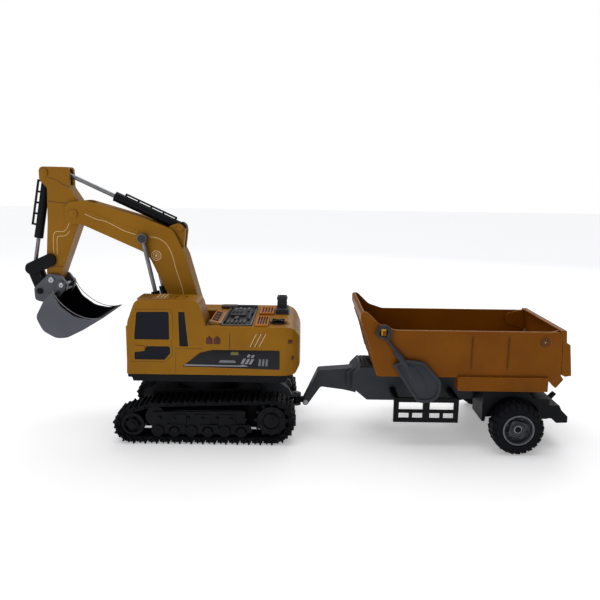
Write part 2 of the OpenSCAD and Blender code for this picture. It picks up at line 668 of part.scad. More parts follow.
bucket_side = [[-96, 121.6, 0.5], [-119, 107.5, 10], [-135, 99.5, 12], [-146, 98.5, 14],
               [-159, 106, 12], [-165.5, 120, 8], [-157, 136, 4], [-148, 145, 1], [-141, 131, 16],
               [-127, 120.5, 20], [-113, 118, 6]];
// The inside is open to the rim, so its last corners lie beyond it
bucket_hollow = let (in = inset(bucket_side, 2))
    concat([for (i = [0 : 7]) in[i]], [[-130, 175, 0], [-80, 135, 0]]);
module bucket_shell() color(mid_grey) difference() {
    union() {
        difference() {
            slab(bucket_side, -bucket_width / 2, bucket_width / 2);
            slab(bucket_hollow, 2 - bucket_width / 2, bucket_width / 2 - 2);
        }
        // Ears behind the bucket that hang on the bracket's right-hand pin
        both_sides() slab([[-154, 136, 0], [-146, 138.5, 2], [-140.8, 146.5, 3], [-140.9, 153.1, 3.4],
                           [-148.1, 153.1, 3.4], [-152, 142, 0]], -16.5, -13.7);
    }
    bar(bucket_pin, 1.8, -40, 40);
    slab(inset(bracket_side, -0.2), -13.6, 13.6);
}

// Bracket pins: stick end, coupler foot and bucket hanger
module bucket_pins() color(steel) {
    for (c = [bucket_pivot, coupler_foot]) {
        bar(c, pin_r, -13.5, 13.5);
        both_sides() bar(c, 3.2, -14.6, -13.5);
    }
    bar(bucket_pin, 1.8, -17.5, 17.5);
}

// ---- Trailer ----

module hitch_knuckle() color(black) difference() {
    union() {
        translate([tow_x, 0, fork_z + 2.6]) cylinder(r = 3.6, h = 7);
        block([tow_x + 1, -2.4, fork_z + 2.8], [draw_pin[0], 2.4, 30]);
        bar(draw_pin, 3.6, -2.4, 2.4);
    }
    translate([tow_x, 0, 20]) cylinder(r = 1.5 + run, h = 16);
    bar(draw_pin, 1.5 + run, -5, 5);
}

frame_top = 70.4;
rail_y0 = 12;
rail_y1 = 24;
fork_y0 = 2.8;
module trailer_frame() color(dark_grey) difference() {
    union() {
        // Drawbar: rising neck and box beam
        slab([[98.6, 23.3, 2.8], [105, 23.3, 3], [119, 44, 3], [143, 41, 2], [156, 38, 0], [156, 65, 0],
              [140, 63.5, 2], [116, 61.5, 4]], -7.5, 7.5);
        // Rails, closed at the front by a sloping plate and a latch block
        both_sides() slab([[151, 62, 1], [158, 69.5, 1], [190, frame_top, 0], [322, frame_top, 0],
                           [322, 64.5, 0], [338, 64, 1], [338, 46, 1], [270, 38.5, 4], [258, 36, 2],
                           [166, 36, 2], [154, 46, 2], [151, 46, 1]], -rail_y1, -rail_y0);
        slab([[146, 46.8, 0], [146, 61, 0], [153.5, 65.8, 0], [157, 68.6, 0], [170, 68.6, 0],
              [170, 46.8, 0]], -rail_y0 - 1, rail_y0 + 1);
        for (x = [186, 222, 262]) block([x, -rail_y0 - 1, 42], [x + 6, rail_y0 + 1, 66]);
        block([326, -rail_y0 - 1, 48], [336, rail_y0 + 1, 60]);
        both_sides() bar(tub_hinge, 6.1, -rail_y1, -rail_y0);
        for (i = [0 : 2]) block([158 + 3.6 * i, -20, 69], [160 + 3.6 * i, 20, 71.2]);
    }
    block([90, -fork_y0, 15], [draw_pin[0] + 5.5, fork_y0, 34]);
    bar(draw_pin, 1.5, -20, 20);
    bar(tub_hinge, pin_r, -60, 60);
    bar(axle, 3, -60, 60);
    block([122, -5.5, 46], [141, 5.5, 59.6]);
}

// Mudguards with their wheel arches, axle housing and rear bumper in one moulding
arch_r = 28;
module axle_carrier() color(black) difference() {
    union() {
        difference() {
            both_sides() slab([[275, 27.5, 1], [275, 57.6, 1], [320, 57.6, 1], [324, 51, 1],
                               [340, 51, 1], [340, 31, 1]], -58, -rail_y1);
            both_sides() bar(axle, arch_r, -70, -46.5);
        }
        block([298, -rail_y1 - 1, 19], [314, rail_y1 + 1, 38]);
        both_sides() block([299, -46.6, 18], [313, -rail_y1 + 1, 36]);
        both_sides() bar(axle, 5.6, -54.5, -46);
        slab([[339, 44.5, 1], [351, 44, 1], [353, 39.5, 1], [359.8, 32.8, 1.5], [360, 26.5, 1],
              [349, 26, 1.5], [344.5, 30.5, 1], [339, 31, 1]], -56, 56);
        both_sides() slab([[350, 40, 0], [353.4, 39, 0], [359, 46, 0.5], [357, 47.4, 0.5]], -27, -21);
    }
    bar(axle, 2.5, -60, 60);
}

// Ladder-shaped guards below the tub, each hung on two arms from the rail
guard_x0 = 189;
guard_x1 = 252.5;
module side_guards() color(black) both_sides() {
    difference() {
        block([guard_x0, -57, 25], [guard_x1, -54, 50]);
        for (i = [0 : 1]) block([guard_x0 + 5 + 30.2 * i, -60, 37.6],
                                [guard_x0 + 28.6 + 30.2 * i, -50, 45.4]);
        for (i = [0 : 3]) block([guard_x0 + 5 + 13.4 * i + (i > 1 ? 3.4 : 0), -60, 29],
                                [guard_x0 + 15.2 + 13.4 * i + (i > 1 ? 3.4 : 0), -50, 34.6]);
    }
    for (x = [guard_x0, guard_x1 - 5]) block([x, -54.1, 45.4], [x + 5, -rail_y1, 50]);
}

// Drawbar pin, tub hinge pin, axle and its end caps
module trailer_pins() color(steel) {
    bar(draw_pin, 1.5, -8.6, 8.6);
    both_sides() bar(draw_pin, 2.6, -8.8, -7.5);
    bar(tub_hinge, pin_r, -55, 55);
    bar(axle, 2.5, 3.5 - wheel_span / 2, wheel_span / 2 - 3.5);
    both_sides() bar(axle, 4, 2.5 - wheel_span / 2, 4.5 - wheel_span / 2);
}

rim_r = 14.5;
tyre_y0 = -wheel_span / 2;
tyre_y1 = tyre_y0 + tyre_width;
module trailer_rim() color(mid_grey) difference() {
    union() {
        bar(axle, rim_r, tyre_y0 + 1.5, tyre_y1 - 1);
        bar(axle, 5, tyre_y1 - 2, tyre_y1 + 2);
    }
    difference() {
        bar(axle, rim_r - 1.6, tyre_y0, tyre_y0 + 5.5);
        bar(axle, 7, tyre_y0 + 3.5, tyre_y0 + 6);
    }
    bar(axle, 4 + gap, tyre_y0, tyre_y0 + 4.8);
    bar(axle, 2.5 + run, tyre_y0, tyre_y1 + 3);
    bar(axle, rim_r - 3, tyre_y1 - 5, tyre_y1 - 2);
    for (i = [0 : 7]) bar(polar(axle, 10.4, i * 45), 1.5, tyre_y0, tyre_y0 + 9);
}
module left_trailer_rim() trailer_rim();
module right_trailer_rim() mirror([0, 1, 0]) trailer_rim();

lugs = 24;
module trailer_tyre() color(black) difference() {
    translate([axle[0], tyre_y1, axle[1]]) rotate([90, 0, 0]) rotate_extrude($fn = 72)
        polygon([[rim_r, 0.5], [rim_r + 2, 0], [tyre_r - 3, 0], [tyre_r, 3], [tyre_r, tyre_width - 3],
                 [tyre_r - 3, tyre_width], [rim_r + 2, tyre_width], [rim_r, tyre_width - 0.5]]);
    for (i = [0 : lugs - 1]) for (s = [0, 1])
        along(axle, polar(axle, 10, (i + s / 2) * 360 / lugs))
            translate([-0.9, s == 0 ? tyre_y0 - 1 : tyre_y1 - 6.5, tyre_r - 1.8]) cube([1.8, 7.5, 4]);
}
module left_trailer_tyre() trailer_tyre();
module right_trailer_tyre() mirror([0, 1, 0]) trailer_tyre();

gate_r = 15.5;
tub_side = [[171.5, tub_floor, 2], [162.8, 103, 4], [154.3, 126, 3], [154.3, 134, 2.5], [160, 134.5, 4],
            [173, 122, 12], [188, tub_z, 12], [345.6, tub_z, 0]];
tub_tail = [[350, 74, 0], [352.8, 70, 0.6], [345.7, 61, 1.2], [336.5, tub_floor, 0]];
gate_arc = [for (a = [28 : -7 : 0]) let (q = polar(gate_hinge, gate_r, a)) [q[0], q[1], 0]];
// The walls end in an arc about the tailgate's hinge, so that the gate can swing up past them
tub_outline = concat(tub_side, gate_arc, tub_tail);
module dump_tub() color(orange) difference() {
    union() {
        slab(tub_outline, -half_tub, half_tub);
        both_sides() slab([[250, 58.2, 1], [250, 72, 0], [337.3, 72, 0], [337.3, 58.2, 1]],
                          -half_tub - 3, -44);
        // Ribs and top flange of the headboard
        for (y = [-46, -23, 0, 23, 46])
            slab([[169, 77, 0], [161.8, 103, 0], [156, 118.6, 0], [158.6, 119, 0], [164.4, 103.5, 0],
                  [171.4, 78, 0]], y - 1.5, y + 1.5);
        // Peg for the shovel, and the boss over the tailgate hinge
        bar([176.3, 116], 1.7, -half_tub - 7, -half_tub + 1);
        block([174.7, -half_tub - 7, 112.9], [178, -half_tub - 5.6, 117.8]);
        both_sides() bar(gate_hinge, 5, -half_tub - 0.9, -half_tub + 1);
    }
    slab([[174, tub_floor + 2.5, 1], [165.6, 103.4, 3], [157.5, 127, 0], [158, 150, 0], [370, 150, 0],
          [370, tub_floor + 2.5, 0]], 2.5 - half_tub, half_tub - 2.5);
    block([330, 5 - half_tub, 50], [370, half_tub - 5, tub_floor]);
    bar(tub_hinge, pin_r + run, -55.5, 55.5);
    both_sides() bar(gate_hinge, 2 + run, -60, -50);
}

// Rear panel on two arms that hang inside the tub's walls
module tailgate() color(orange) {
    difference() {
        slab([[349.2, 107, 0], [350.8, 74.5, 0], [354, 73, 1], [360, 74, 0.5], [356.5, 105, 1], [353, 106, 1],
              [352, 119, 1.2], [345.4, 119, 0.5], [347.8, 114.5, 0]], -half_tub, half_tub);
        // Gap about the hinge for the ends of the walls
        both_sides() bar(gate_hinge, gate_r + gap, -half_tub - 1, 2.1 - half_tub);
        block([353.6, 8 - half_tub, 70], [362, half_tub - 8, 104]);
    }
    for (y = [-34, 0, 34]) block([352, y - 3, 78], [356, y + 3, 100]);
    both_sides() {
        slab([[327, 103, 5], [327, 113.5, 5], [345, 118, 2], [350, 118, 0], [350, 96, 0]],
             3 - half_tub, 5.2 - half_tub);
        bar(gate_hinge, 2, 0.4 - half_tub, 3.1 - half_tub);
    }
}

// Toy shovel that hangs flat against the tub's left side
shovel_y0 = -half_tub - 5.2;
module shovel() color(dark_grey) {
    difference() {
        slab([[167, 112, 3], [174, 124, 4], [184, 120, 4], [182, 108, 3]], shovel_y0, shovel_y0 + 3);
        slab([[170.6, 113.6, 1.5], [174.6, 120.4, 1.5], [180.4, 117.6, 1.5], [179, 110.5, 1.5]],
             shovel_y0 - 1, shovel_y0 + 5);
    }
    translate([0, shovel_y0 + 1.5, 0]) {
        along([179, 110], [196, 86]) cylinder(r = 1.9, h = 29);
        along([189, 96], [200, 80]) cylinder(r = 3, h = 16);
    }
    slab([[186, 84, 1], [199, 89, 2], [216, 87, 8], [233, 68, 4], [233, 47, 12], [211, 46, 8]],
         shovel_y0, shovel_y0 + 2.6);
}

// ---- Choice of what is drawn ----

place() chassis_tub();
place() chassis_cover();
place() chassis_screws();
place() drive_motors();
place() left_drive_gearbox();
place() right_drive_gearbox();
place() slew_ring();
place() hitch_bracket();
place() tow_pin();
place() left_track_frame();
place() right_track_frame();
place() left_track_belt();
place() right_track_belt();
place() left_sprocket();
place() right_sprocket();
place() left_idler();
place() right_idler();
place() house_base();
place() slew_retainer();
place() house_shell();
place() cab_shell();
place() cab_windows();
place() roof_fittings();
place() engine_cover();
place() vent_grilles();
place() exhaust_stack();
place() battery_pack();
place() circuit_board();
place() slew_motor();
place() house_pins();
place() power_button();
place() boom_left_half();
place() boom_right_half();
place() boom_pins();
place() boom_cylinder_barrels();
place() boom_cylinder_rods();
place() stick_cylinder_barrel();
place() stick_cylinder_rod();
place() stick_left_half();
place() stick_right_half();
place() stick_pins();
place() bucket_cylinder_barrel();
place() bucket_cylinder_rod();
place() rocker();
place() coupler_link();
place() bucket_bracket();
place() bucket_shell();
place() bucket_pins();
place() hitch_knuckle();
place() trailer_frame();
place() axle_carrier();
place() side_guards();
place() trailer_pins();
place() left_trailer_rim();
place() left_trailer_tyre();
place() right_trailer_rim();
place() right_trailer_tyre();
place() dump_tub();
place() tailgate();
place() shovel();
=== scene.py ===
"""Looks of a toy crawler excavator and its dump trailer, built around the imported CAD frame.

Design coordinates are in millimetres: x along the object from the slew axis, y across it, z up.
P() turns them into the row frame in metres. Side outlines are lists of (x, z, corner radius).
"""
import json
import math

import bmesh
import bpy
from mathutils import Matrix, Vector
from mathutils.geometry import tessellate_polygon

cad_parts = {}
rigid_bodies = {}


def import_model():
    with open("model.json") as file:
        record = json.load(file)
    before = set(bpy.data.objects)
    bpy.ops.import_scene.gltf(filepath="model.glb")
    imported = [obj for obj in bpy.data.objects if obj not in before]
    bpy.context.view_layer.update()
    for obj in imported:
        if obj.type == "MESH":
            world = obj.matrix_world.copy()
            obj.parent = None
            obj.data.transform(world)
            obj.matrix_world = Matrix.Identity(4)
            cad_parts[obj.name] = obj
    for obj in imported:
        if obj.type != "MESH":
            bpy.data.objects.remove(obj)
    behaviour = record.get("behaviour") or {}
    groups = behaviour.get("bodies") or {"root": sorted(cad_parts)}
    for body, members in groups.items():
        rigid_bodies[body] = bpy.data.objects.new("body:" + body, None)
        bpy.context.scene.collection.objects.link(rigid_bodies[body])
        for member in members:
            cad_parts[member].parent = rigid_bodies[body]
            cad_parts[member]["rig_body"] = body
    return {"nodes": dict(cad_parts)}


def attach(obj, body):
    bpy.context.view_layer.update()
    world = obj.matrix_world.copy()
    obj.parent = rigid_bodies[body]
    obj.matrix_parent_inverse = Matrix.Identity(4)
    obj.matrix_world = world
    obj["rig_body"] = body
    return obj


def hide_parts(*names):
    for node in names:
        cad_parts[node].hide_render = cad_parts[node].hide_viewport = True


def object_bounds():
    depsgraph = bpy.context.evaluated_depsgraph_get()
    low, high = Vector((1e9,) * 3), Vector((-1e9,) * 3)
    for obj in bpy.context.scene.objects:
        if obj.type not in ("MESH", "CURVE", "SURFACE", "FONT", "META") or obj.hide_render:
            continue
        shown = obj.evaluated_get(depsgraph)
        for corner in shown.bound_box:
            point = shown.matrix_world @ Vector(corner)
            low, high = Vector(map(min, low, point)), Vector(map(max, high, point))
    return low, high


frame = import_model()
cad_low, cad_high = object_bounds()
nodes = frame["nodes"]
scene = bpy.context.scene

MM = 0.001
FRONT_X = -182.03                      # design x of the model's front end
SHIFT = cad_low.x / MM - FRONT_X       # design x to row x, in millimetres

# Places and sizes shared by several pieces, in design millimetres; centres are (x, z)
SIDE = -55   # the house's flank on the -Y side
DECK = 118   # top of the deck
ROOF = 143   # top of the cab
BOOM_FACE = -13
STICK_FACE = -9
BUCKET_FACE = 33   # half the bucket's width
BUCKET_MIDDLE = (-132, 0, 132)
BUCKET_PIVOT = (-155.5, 154.5)
BUCKET_PIN = (-144.5, 149.5)
RING_EMBLEM = (-48.8, 180.5)
AXLE = (306, 25.4)
GATE_HINGE = (332.2, 107.3)
TYRE_OUT = -76   # outer face of a tyre
TYRE_WIDTH = 19
LUGS = 24
SHOVEL_FACE = -60.2
PRINT = 0.4   # how far a printed mark stands off the flank


def P(x, y, z):
    return Vector(((x + SHIFT) * MM, y * MM, z * MM))


# ---- Camera and light ----

def make_camera():
    data = bpy.data.cameras.new("camera")
    data.sensor_width = 36
    data.lens = 38.16
    data.clip_start, data.clip_end = 0.01, 20
    cam = bpy.data.objects.new("camera", data)
    cam.matrix_world = (Matrix.Translation(P(96, -648, 257))
                        @ Matrix.Rotation(math.radians(79.32), 4, "X")
                        @ Matrix.Rotation(math.radians(0.8), 4, "Z"))
    scene.collection.objects.link(cam)
    scene.camera = cam


def area_light(name, place, target, size, power):
    data = bpy.data.lights.new(name, "AREA")
    data.shape = "RECTANGLE"
    data.size, data.size_y = size
    data.energy = power
    lamp = bpy.data.objects.new(name, data)
    lamp.location = place
    lamp.rotation_mode = "QUATERNION"
    lamp.rotation_quaternion = (Vector(target) - Vector(place)).to_track_quat("-Z", "Y")
    scene.collection.objects.link(lamp)


def sun_light(name, direction, strength, spread):
    data = bpy.data.lights.new(name, "SUN")
    data.energy = strength
    data.angle = math.radians(spread)
    lamp = bpy.data.objects.new(name, data)
    lamp.rotation_mode = "QUATERNION"
    lamp.rotation_quaternion = Vector(direction).to_track_quat("-Z", "Y")
    scene.collection.objects.link(lamp)


def make_light():
    sun_light("soft_top_light", (0.15, -0.25, -1), 1.9, 70)
    area_light("left_softbox", (-0.9, -1.3, 0.7), (0.05, 0, 0.1), (0.9, 0.7), 5.5)
    area_light("rear_rim", (0.5, 1.2, 0.7), (0, 0, 0.1), (0.9, 0.5), 3)
    world = bpy.data.worlds.new("studio")
    world.use_nodes = True
    tree = world.node_tree
    soft = tree.nodes["Background"]
    soft.inputs["Color"].default_value = (0.95, 0.97, 1, 1)
    soft.inputs["Strength"].default_value = 0.2
    seen = tree.nodes.new("ShaderNodeBackground")
    seen.inputs["Color"].default_value = (1, 1, 1, 1)
    seen.inputs["Strength"].default_value = 1.0
    path = tree.nodes.new("ShaderNodeLightPath")
    mix = tree.nodes.new("ShaderNodeMixShader")
    tree.links.new(path.outputs["Is Camera Ray"], mix.inputs[0])
    tree.links.new(soft.outputs[0], mix.inputs[1])
    tree.links.new(seen.outputs[0], mix.inputs[2])
    tree.links.new(mix.outputs[0], tree.nodes["World Output"].inputs["Surface"])
    scene.world = world
    scene.view_settings.view_transform = "Standard"


# ---- Materials ----

def rgb(red, green, blue):
    """Linear colour from display values between 0 and 255."""
    def linear(c):
        c /= 255
        return c / 12.92 if c <= 0.04045 else ((c + 0.055) / 1.055) ** 2.4
    return (linear(red), linear(green), linear(blue), 1)


def scaled(colour, factor):
    """The same colour, darker or lighter."""
    return tuple(min(1, factor * c) for c in colour[:3]) + (1,)


class Shader:
    """A material's node tree, with short calls for the nodes used here."""

    def __init__(self, name):
        self.material = bpy.data.materials.new(name)
        self.material.use_nodes = True
        self.tree = self.material.node_tree
        self.bsdf = self.tree.nodes["Principled BSDF"]
        coord = self.tree.nodes.new("ShaderNodeTexCoord")
        self.place = coord.outputs["Object"]

    def node(self, kind, **inputs):
        made = self.tree.nodes.new(kind)
        for key, value in inputs.items():
            socket = made.inputs[int(key[1:])] if key[1:].isdigit() else made.inputs[key.replace("_", " ")]
            if isinstance(value, bpy.types.NodeSocket):
                self.tree.links.new(value, socket)
            else:
                socket.default_value = value
        return made

    def noise(self, scale, detail=2.0, roughness=0.5):
        made = self.node("ShaderNodeTexNoise", Vector=self.place, Scale=scale, Detail=detail)
        made.inputs["Roughness"].default_value = roughness
        return made.outputs["Fac"]

    def span(self, value, low, high, to_low, to_high):
        made = self.node("ShaderNodeMapRange", Value=value)
        made.inputs["From Min"].default_value = low
        made.inputs["From Max"].default_value = high
        made.inputs["To Min"].default_value = to_low
        made.inputs["To Max"].default_value = to_high
        return made.outputs[0]

    def mix(self, factor, a, b):
        made = self.tree.nodes.new("ShaderNodeMix")
        made.data_type = "RGBA"
        for socket, value in ((made.inputs[0], factor), (made.inputs[6], a), (made.inputs[7], b)):
            if isinstance(value, bpy.types.NodeSocket):
                self.tree.links.new(value, socket)
            else:
                socket.default_value = value
        return made.outputs[2]

    def edges(self, radius):
        """1 on an edge and 0 on a flat face: the mask for edge wear and for painted edge highlights."""
        bevel = self.tree.nodes.new("ShaderNodeBevel")
        bevel.samples = 4
        bevel.inputs["Radius"].default_value = radius
        flat = self.tree.nodes.new("ShaderNodeNewGeometry")
        dot = self.tree.nodes.new("ShaderNodeVectorMath")
        dot.operation = "DOT_PRODUCT"
        self.tree.links.new(bevel.outputs[0], dot.inputs[0])
        self.tree.links.new(flat.outputs["Normal"], dot.inputs[1])
        return self.span(dot.outputs["Value"], 0.98, 0.8, 0, 1)

    def occlusion_shade(self, distance):
        """0 deep in a corner and 1 in the open: ambient occlusion, the mask for painted shade in corners."""
        made = self.node("ShaderNodeAmbientOcclusion", Distance=distance)
        made.samples = 6
        return self.span(made.outputs["AO"], 0.25, 0.8, 0, 1)

    def bump(self, height, strength, distance):
        made = self.node("ShaderNodeBump", Height=height)
        made.inputs["Strength"].default_value = strength
        made.inputs["Distance"].default_value = distance
        self.tree.links.new(made.outputs[0], self.bsdf.inputs["Normal"])

    def finish(self, colour, rough):
        self.tree.links.new(colour, self.bsdf.inputs["Base Color"])
        self.tree.links.new(rough, self.bsdf.inputs["Roughness"])
        return self.material


def moulded_plastic(name, colour, shade, edge_wear_and_highlight, rough=0.38, grain=0.05, edge_wear_and_highlight_share=0.55, gloss=0.4):
    """Injection-moulded plastic: cloudy tone, painted shade in corners, edges lightened by rubbed wear and a
    painted highlight, and a fine grain.
    """
    s = Shader(name)
    clouds = s.span(s.noise(28, 3), 0.3, 0.7, 0, 1)
    tone = s.mix(clouds, colour, shade)
    # painted shade: corners darkened from ambient occlusion
    painted_corner_shade = s.occlusion_shade(0.006)
    tone = s.mix(painted_corner_shade, scaled(shade, 0.45), tone)
    # edges lightened: partly rubbed wear, partly a painted highlight
    scuff_and_glint_breakup = s.span(s.noise(420, 4, 0.7), 0.42, 0.62, 0.25, 1)
    edge = s.node("ShaderNodeMath", _0=s.edges(0.0006), _1=scuff_and_glint_breakup)
    edge.operation = "MULTIPLY"
    soft = s.span(edge.outputs[0], 0, 1, 0, edge_wear_and_highlight_share)
    tone = s.mix(soft, tone, edge_wear_and_highlight)
    smudge = s.span(s.noise(60, 4, 0.6), 0.3, 0.7, rough - 0.07, rough + 0.09)
    s.bump(s.noise(2600, 2), grain, 0.0001)
    s.bsdf.inputs["Specular IOR Level"].default_value = gloss
    return s.finish(tone, smudge)


def rubber(name, colour, dusty):
    """Matt rubber with a paler film, painted shade in corners and slightly greyed edges."""
    s = Shader(name)
    tone = s.mix(s.span(s.noise(90, 4), 0.35, 0.7, 0, 1), colour, dusty)
    # painted shade: corners darkened from ambient occlusion
    tone = s.mix(s.occlusion_shade(0.004), scaled(colour, 0.4), tone)
    tone = s.mix(s.span(s.edges(0.0005), 0, 1, 0, 0.35), tone, scaled(dusty, 2.2))
    rough = s.span(s.noise(300, 3), 0.3, 0.7, 0.52, 0.72)
    s.bump(s.noise(1500, 3), 0.25, 0.0002)
    s.bsdf.inputs["Specular IOR Level"].default_value = 0.12
    return s.finish(tone, rough)


def metal(name, colour, rough):
    """Satin metal with a fine grain and a painted highlight along its edges."""
    s = Shader(name)
    tone = s.mix(s.span(s.noise(160, 3), 0.3, 0.7, 0, 1), colour, scaled(colour, 0.72))
    # painted highlight: edges lightened
    tone = s.mix(s.span(s.edges(0.0004), 0, 1, 0, 0.6), tone, scaled(colour, 1.5))
    s.bsdf.inputs["Metallic"].default_value = 0.85
    s.bump(s.noise(900, 2), 0.06, 0.0001)
    return s.finish(tone, s.span(s.noise(500, 4), 0.3, 0.7, rough - 0.06, rough + 0.12))


def tinted_glass(name, colour):
    """Opaque dark window plastic with a smooth, slightly uneven face."""
    s = Shader(name)
    tone = s.mix(s.span(s.noise(40, 2), 0.3, 0.7, 0, 1), colour, scaled(colour, 1.3))
    s.bsdf.inputs["Specular IOR Level"].default_value = 0.14
    s.bump(s.noise(35, 1), 0.02, 0.0005)
    return s.finish(tone, s.span(s.noise(120, 4), 0.4, 0.7, 0.12, 0.2))


# The third colour of each plastic goes on its edges: partly rubbed wear, partly a painted highlight.
SLOTS = {
    "excavator_yellow": moulded_plastic("yellow_plastic", rgb(150, 102, 6), rgb(140, 93, 4),
                                        rgb(214, 164, 70), rough=0.42, gloss=0.15, edge_wear_and_highlight_share=0.7),
    "trailer_orange": moulded_plastic("tub_orange_plastic", rgb(130, 75, 1), rgb(118, 65, 1),
                                      rgb(226, 158, 72), rough=0.44, gloss=0.11, edge_wear_and_highlight_share=0.8),
    "accent_orange": moulded_plastic("bright_orange_plastic", rgb(188, 110, 14), rgb(176, 98, 10),
                                     rgb(228, 166, 76), rough=0.4, gloss=0.2),
    "black_plastic": moulded_plastic("black_plastic", rgb(11, 12, 17), rgb(8, 9, 13),
                                     rgb(40, 42, 50), rough=0.5, gloss=0.14),
    "dark_grey_plastic": moulded_plastic("slate_plastic", rgb(56, 59, 65), rgb(48, 51, 57),
                                         rgb(102, 106, 112), rough=0.5, gloss=0.18),
    "bucket_grey": moulded_plastic("bucket_grey_plastic", rgb(86, 89, 97), rgb(76, 79, 87),
                                   rgb(146, 149, 155), rough=0.44, gloss=0.3),
    "track_rubber": rubber("track_rubber", rgb(7, 8, 13), rgb(12, 13, 19)),
    "tyre_rubber": rubber("tyre_rubber", rgb(8, 9, 15), rgb(13, 14, 20)),
    "window_glass": tinted_glass("navy_glass", rgb(9, 11, 24)),
    "rod_metal": metal("satin_rod", rgb(132, 134, 138), 0.34),
    "pin_steel": metal("pin_steel", rgb(150, 152, 158), 0.3),
    "rim_plastic": moulded_plastic("rim_grey_plastic", rgb(60, 62, 68), rgb(50, 52, 58),
                                   rgb(120, 122, 128), rough=0.4, gloss=0.3),
    "board_green": moulded_plastic("circuit_board", rgb(24, 92, 50), rgb(18, 78, 42), rgb(120, 160, 90)),
    "battery_wrap": moulded_plastic("battery_wrap", rgb(34, 66, 128), rgb(26, 54, 108), rgb(120, 140, 180)),
}


def detail(name, colour, shade, edge_wear_and_highlight, rough, **more):
    return name, moulded_plastic(name, rgb(*colour), rgb(*shade), rgb(*edge_wear_and_highlight), rough, **more)


DETAIL = dict([
    detail("panel_black", (17, 17, 24), (13, 13, 19), (42, 42, 50), 0.34, gloss=0.25),
    # Brown: dark lines, and the painted shade of seams and panel grooves.
    detail("brown_lines_and_seam_shade", (70, 42, 10), (58, 34, 8), (96, 62, 22), 0.5),
    detail("print_grey", (150, 148, 152), (132, 130, 136), (186, 184, 188), 0.45),
    # Cream: print on the ring emblem, and the painted highlight of raised ridges on the boom, stick and
    # flank.
    detail("cream_print_and_painted_highlight", (224, 182, 128), (208, 166, 108), (244, 216, 172), 0.4),
    detail("print_red", (84, 28, 14), (70, 24, 12), (120, 54, 36), 0.45),
    detail("print_olive", (112, 104, 40), (98, 92, 36), (150, 142, 76), 0.45),
    detail("hatch_cream", (176, 134, 90), (162, 120, 76), (214, 178, 136), 0.42),
    detail("engine_light", (112, 104, 98), (94, 88, 84), (164, 158, 152), 0.42),
    # Near-black navy for the bucket's inner faces: painted shade inside the bucket.
    detail("bucket_inside_painted_shade", (17, 19, 32), (13, 15, 26), (60, 62, 74), 0.5, gloss=0.2),
    detail("peg_yellow", (214, 160, 30), (200, 146, 24), (240, 206, 110), 0.4),
    ("silver_screw", metal("silver_screw", rgb(190, 192, 196), 0.24)),
    detail("ring_light", (118, 120, 126), (98, 100, 106), (168, 170, 176), 0.36),
])


def paint(obj, material):
    obj.data.materials.clear()
    obj.data.materials.append(material)


# ---- Mesh tools ----

def make_object(name, data):
    obj = bpy.data.objects.new(name, data)
    scene.collection.objects.link(obj)
    return obj


def smooth_by_angle(data):
    data.polygons.foreach_set("use_smooth", [True] * len(data.polygons))
    data.set_sharp_from_angle(angle=math.radians(34))


def weighted_normals(obj):
    made = obj.modifiers.new("face_weights", "WEIGHTED_NORMAL")
    made.keep_sharp = True


def sharp_edges(bm, degrees=26):
    limit = math.radians(degrees)
    return [e for e in bm.edges if len(e.link_faces) == 2 and abs(e.calc_face_angle(0)) > limit]


def round_edges(bm, edges, radius, segments):
    bmesh.ops.bevel(bm, geom=edges, offset=radius, offset_type="OFFSET", segments=segments,
                    profile=0.5, affect="EDGES", clamp_overlap=True)


def mould(node, fine=0.3, wide=0, chosen=None):
    """A copy of a CAD node with its edges rounded as a mould leaves them.
    wide is a larger radius for the edges whose middle, in design mm, chosen() picks."""
    bm = bmesh.new()
    bm.from_mesh(nodes[node].data)
    bmesh.ops.remove_doubles(bm, verts=bm.verts, dist=2e-6)
    bmesh.ops.dissolve_limit(bm, angle_limit=math.radians(0.4), verts=bm.verts, edges=bm.edges)
    if wide:
        picked = []
        for e in sharp_edges(bm, 20):
            middle = (e.verts[0].co + e.verts[1].co) / 2 / MM
            middle.x -= SHIFT
            if chosen(middle):
                picked.append(e)
        round_edges(bm, picked, wide * MM, 4)
    round_edges(bm, sharp_edges(bm), fine * MM, 2)
    data = bpy.data.meshes.new(node + "_moulded")
    bm.to_mesh(data)
    bm.free()
    obj = make_object(node + "_moulded", data)
    smooth_by_angle(data)
    weighted_normals(obj)
    return obj


def polar(centre, radius, angle):
    return (centre[0] + radius * math.cos(angle), centre[1] + radius * math.sin(angle))


def rounded(points, steps=5):
    """A closed outline of (x, z, corner radius) as plain points; the radius may be left out."""
    out = []
    count = len(points)
    for i in range(count):
        here = Vector(points[i][:2])
        u = (Vector(points[i - 1][:2]) - here).normalized()
        v = (Vector(points[(i + 1) % count][:2]) - here).normalized()
        radius = points[i][2] if len(points[i]) > 2 else 0
        if radius < 0.01 or abs(u.x * v.y - u.y * v.x) < 0.02:
            out.append(tuple(here))
            continue
        half = math.acos(max(-1, min(1, u.dot(v)))) / 2
        centre = here + (u + v).normalized() * radius / math.sin(half)
        start = here + u * radius / math.tan(half) - centre
        end = here + v * radius / math.tan(half) - centre
        first = math.atan2(start.y, start.x)
        sweep = math.remainder(math.atan2(end.y, end.x) - first, math.tau)
        out += [polar(centre, radius, first + sweep * k / steps) for k in range(steps + 1)]
    return out


def disc(centre, radius, steps=24):
    return [polar(centre, radius, math.tau * k / steps) for k in range(steps)]


def flowing(points):
    """A smooth line through the points."""
    ends = [points[0], *points, points[-1]]
    out = []
    for i in range(1, len(ends) - 2):
        a, b, c, d = (Vector(ends[i + k]) for k in (-1, 0, 1, 2))
        for k in range(5):
            t = k / 5
            out.append(tuple(0.5 * (2 * b + (c - a) * t + (2 * a - 5 * b + 4 * c - d) * t * t
                                    + (3 * b - a - 3 * c + d) * t ** 3)))
    return out + [tuple(points[-1])]


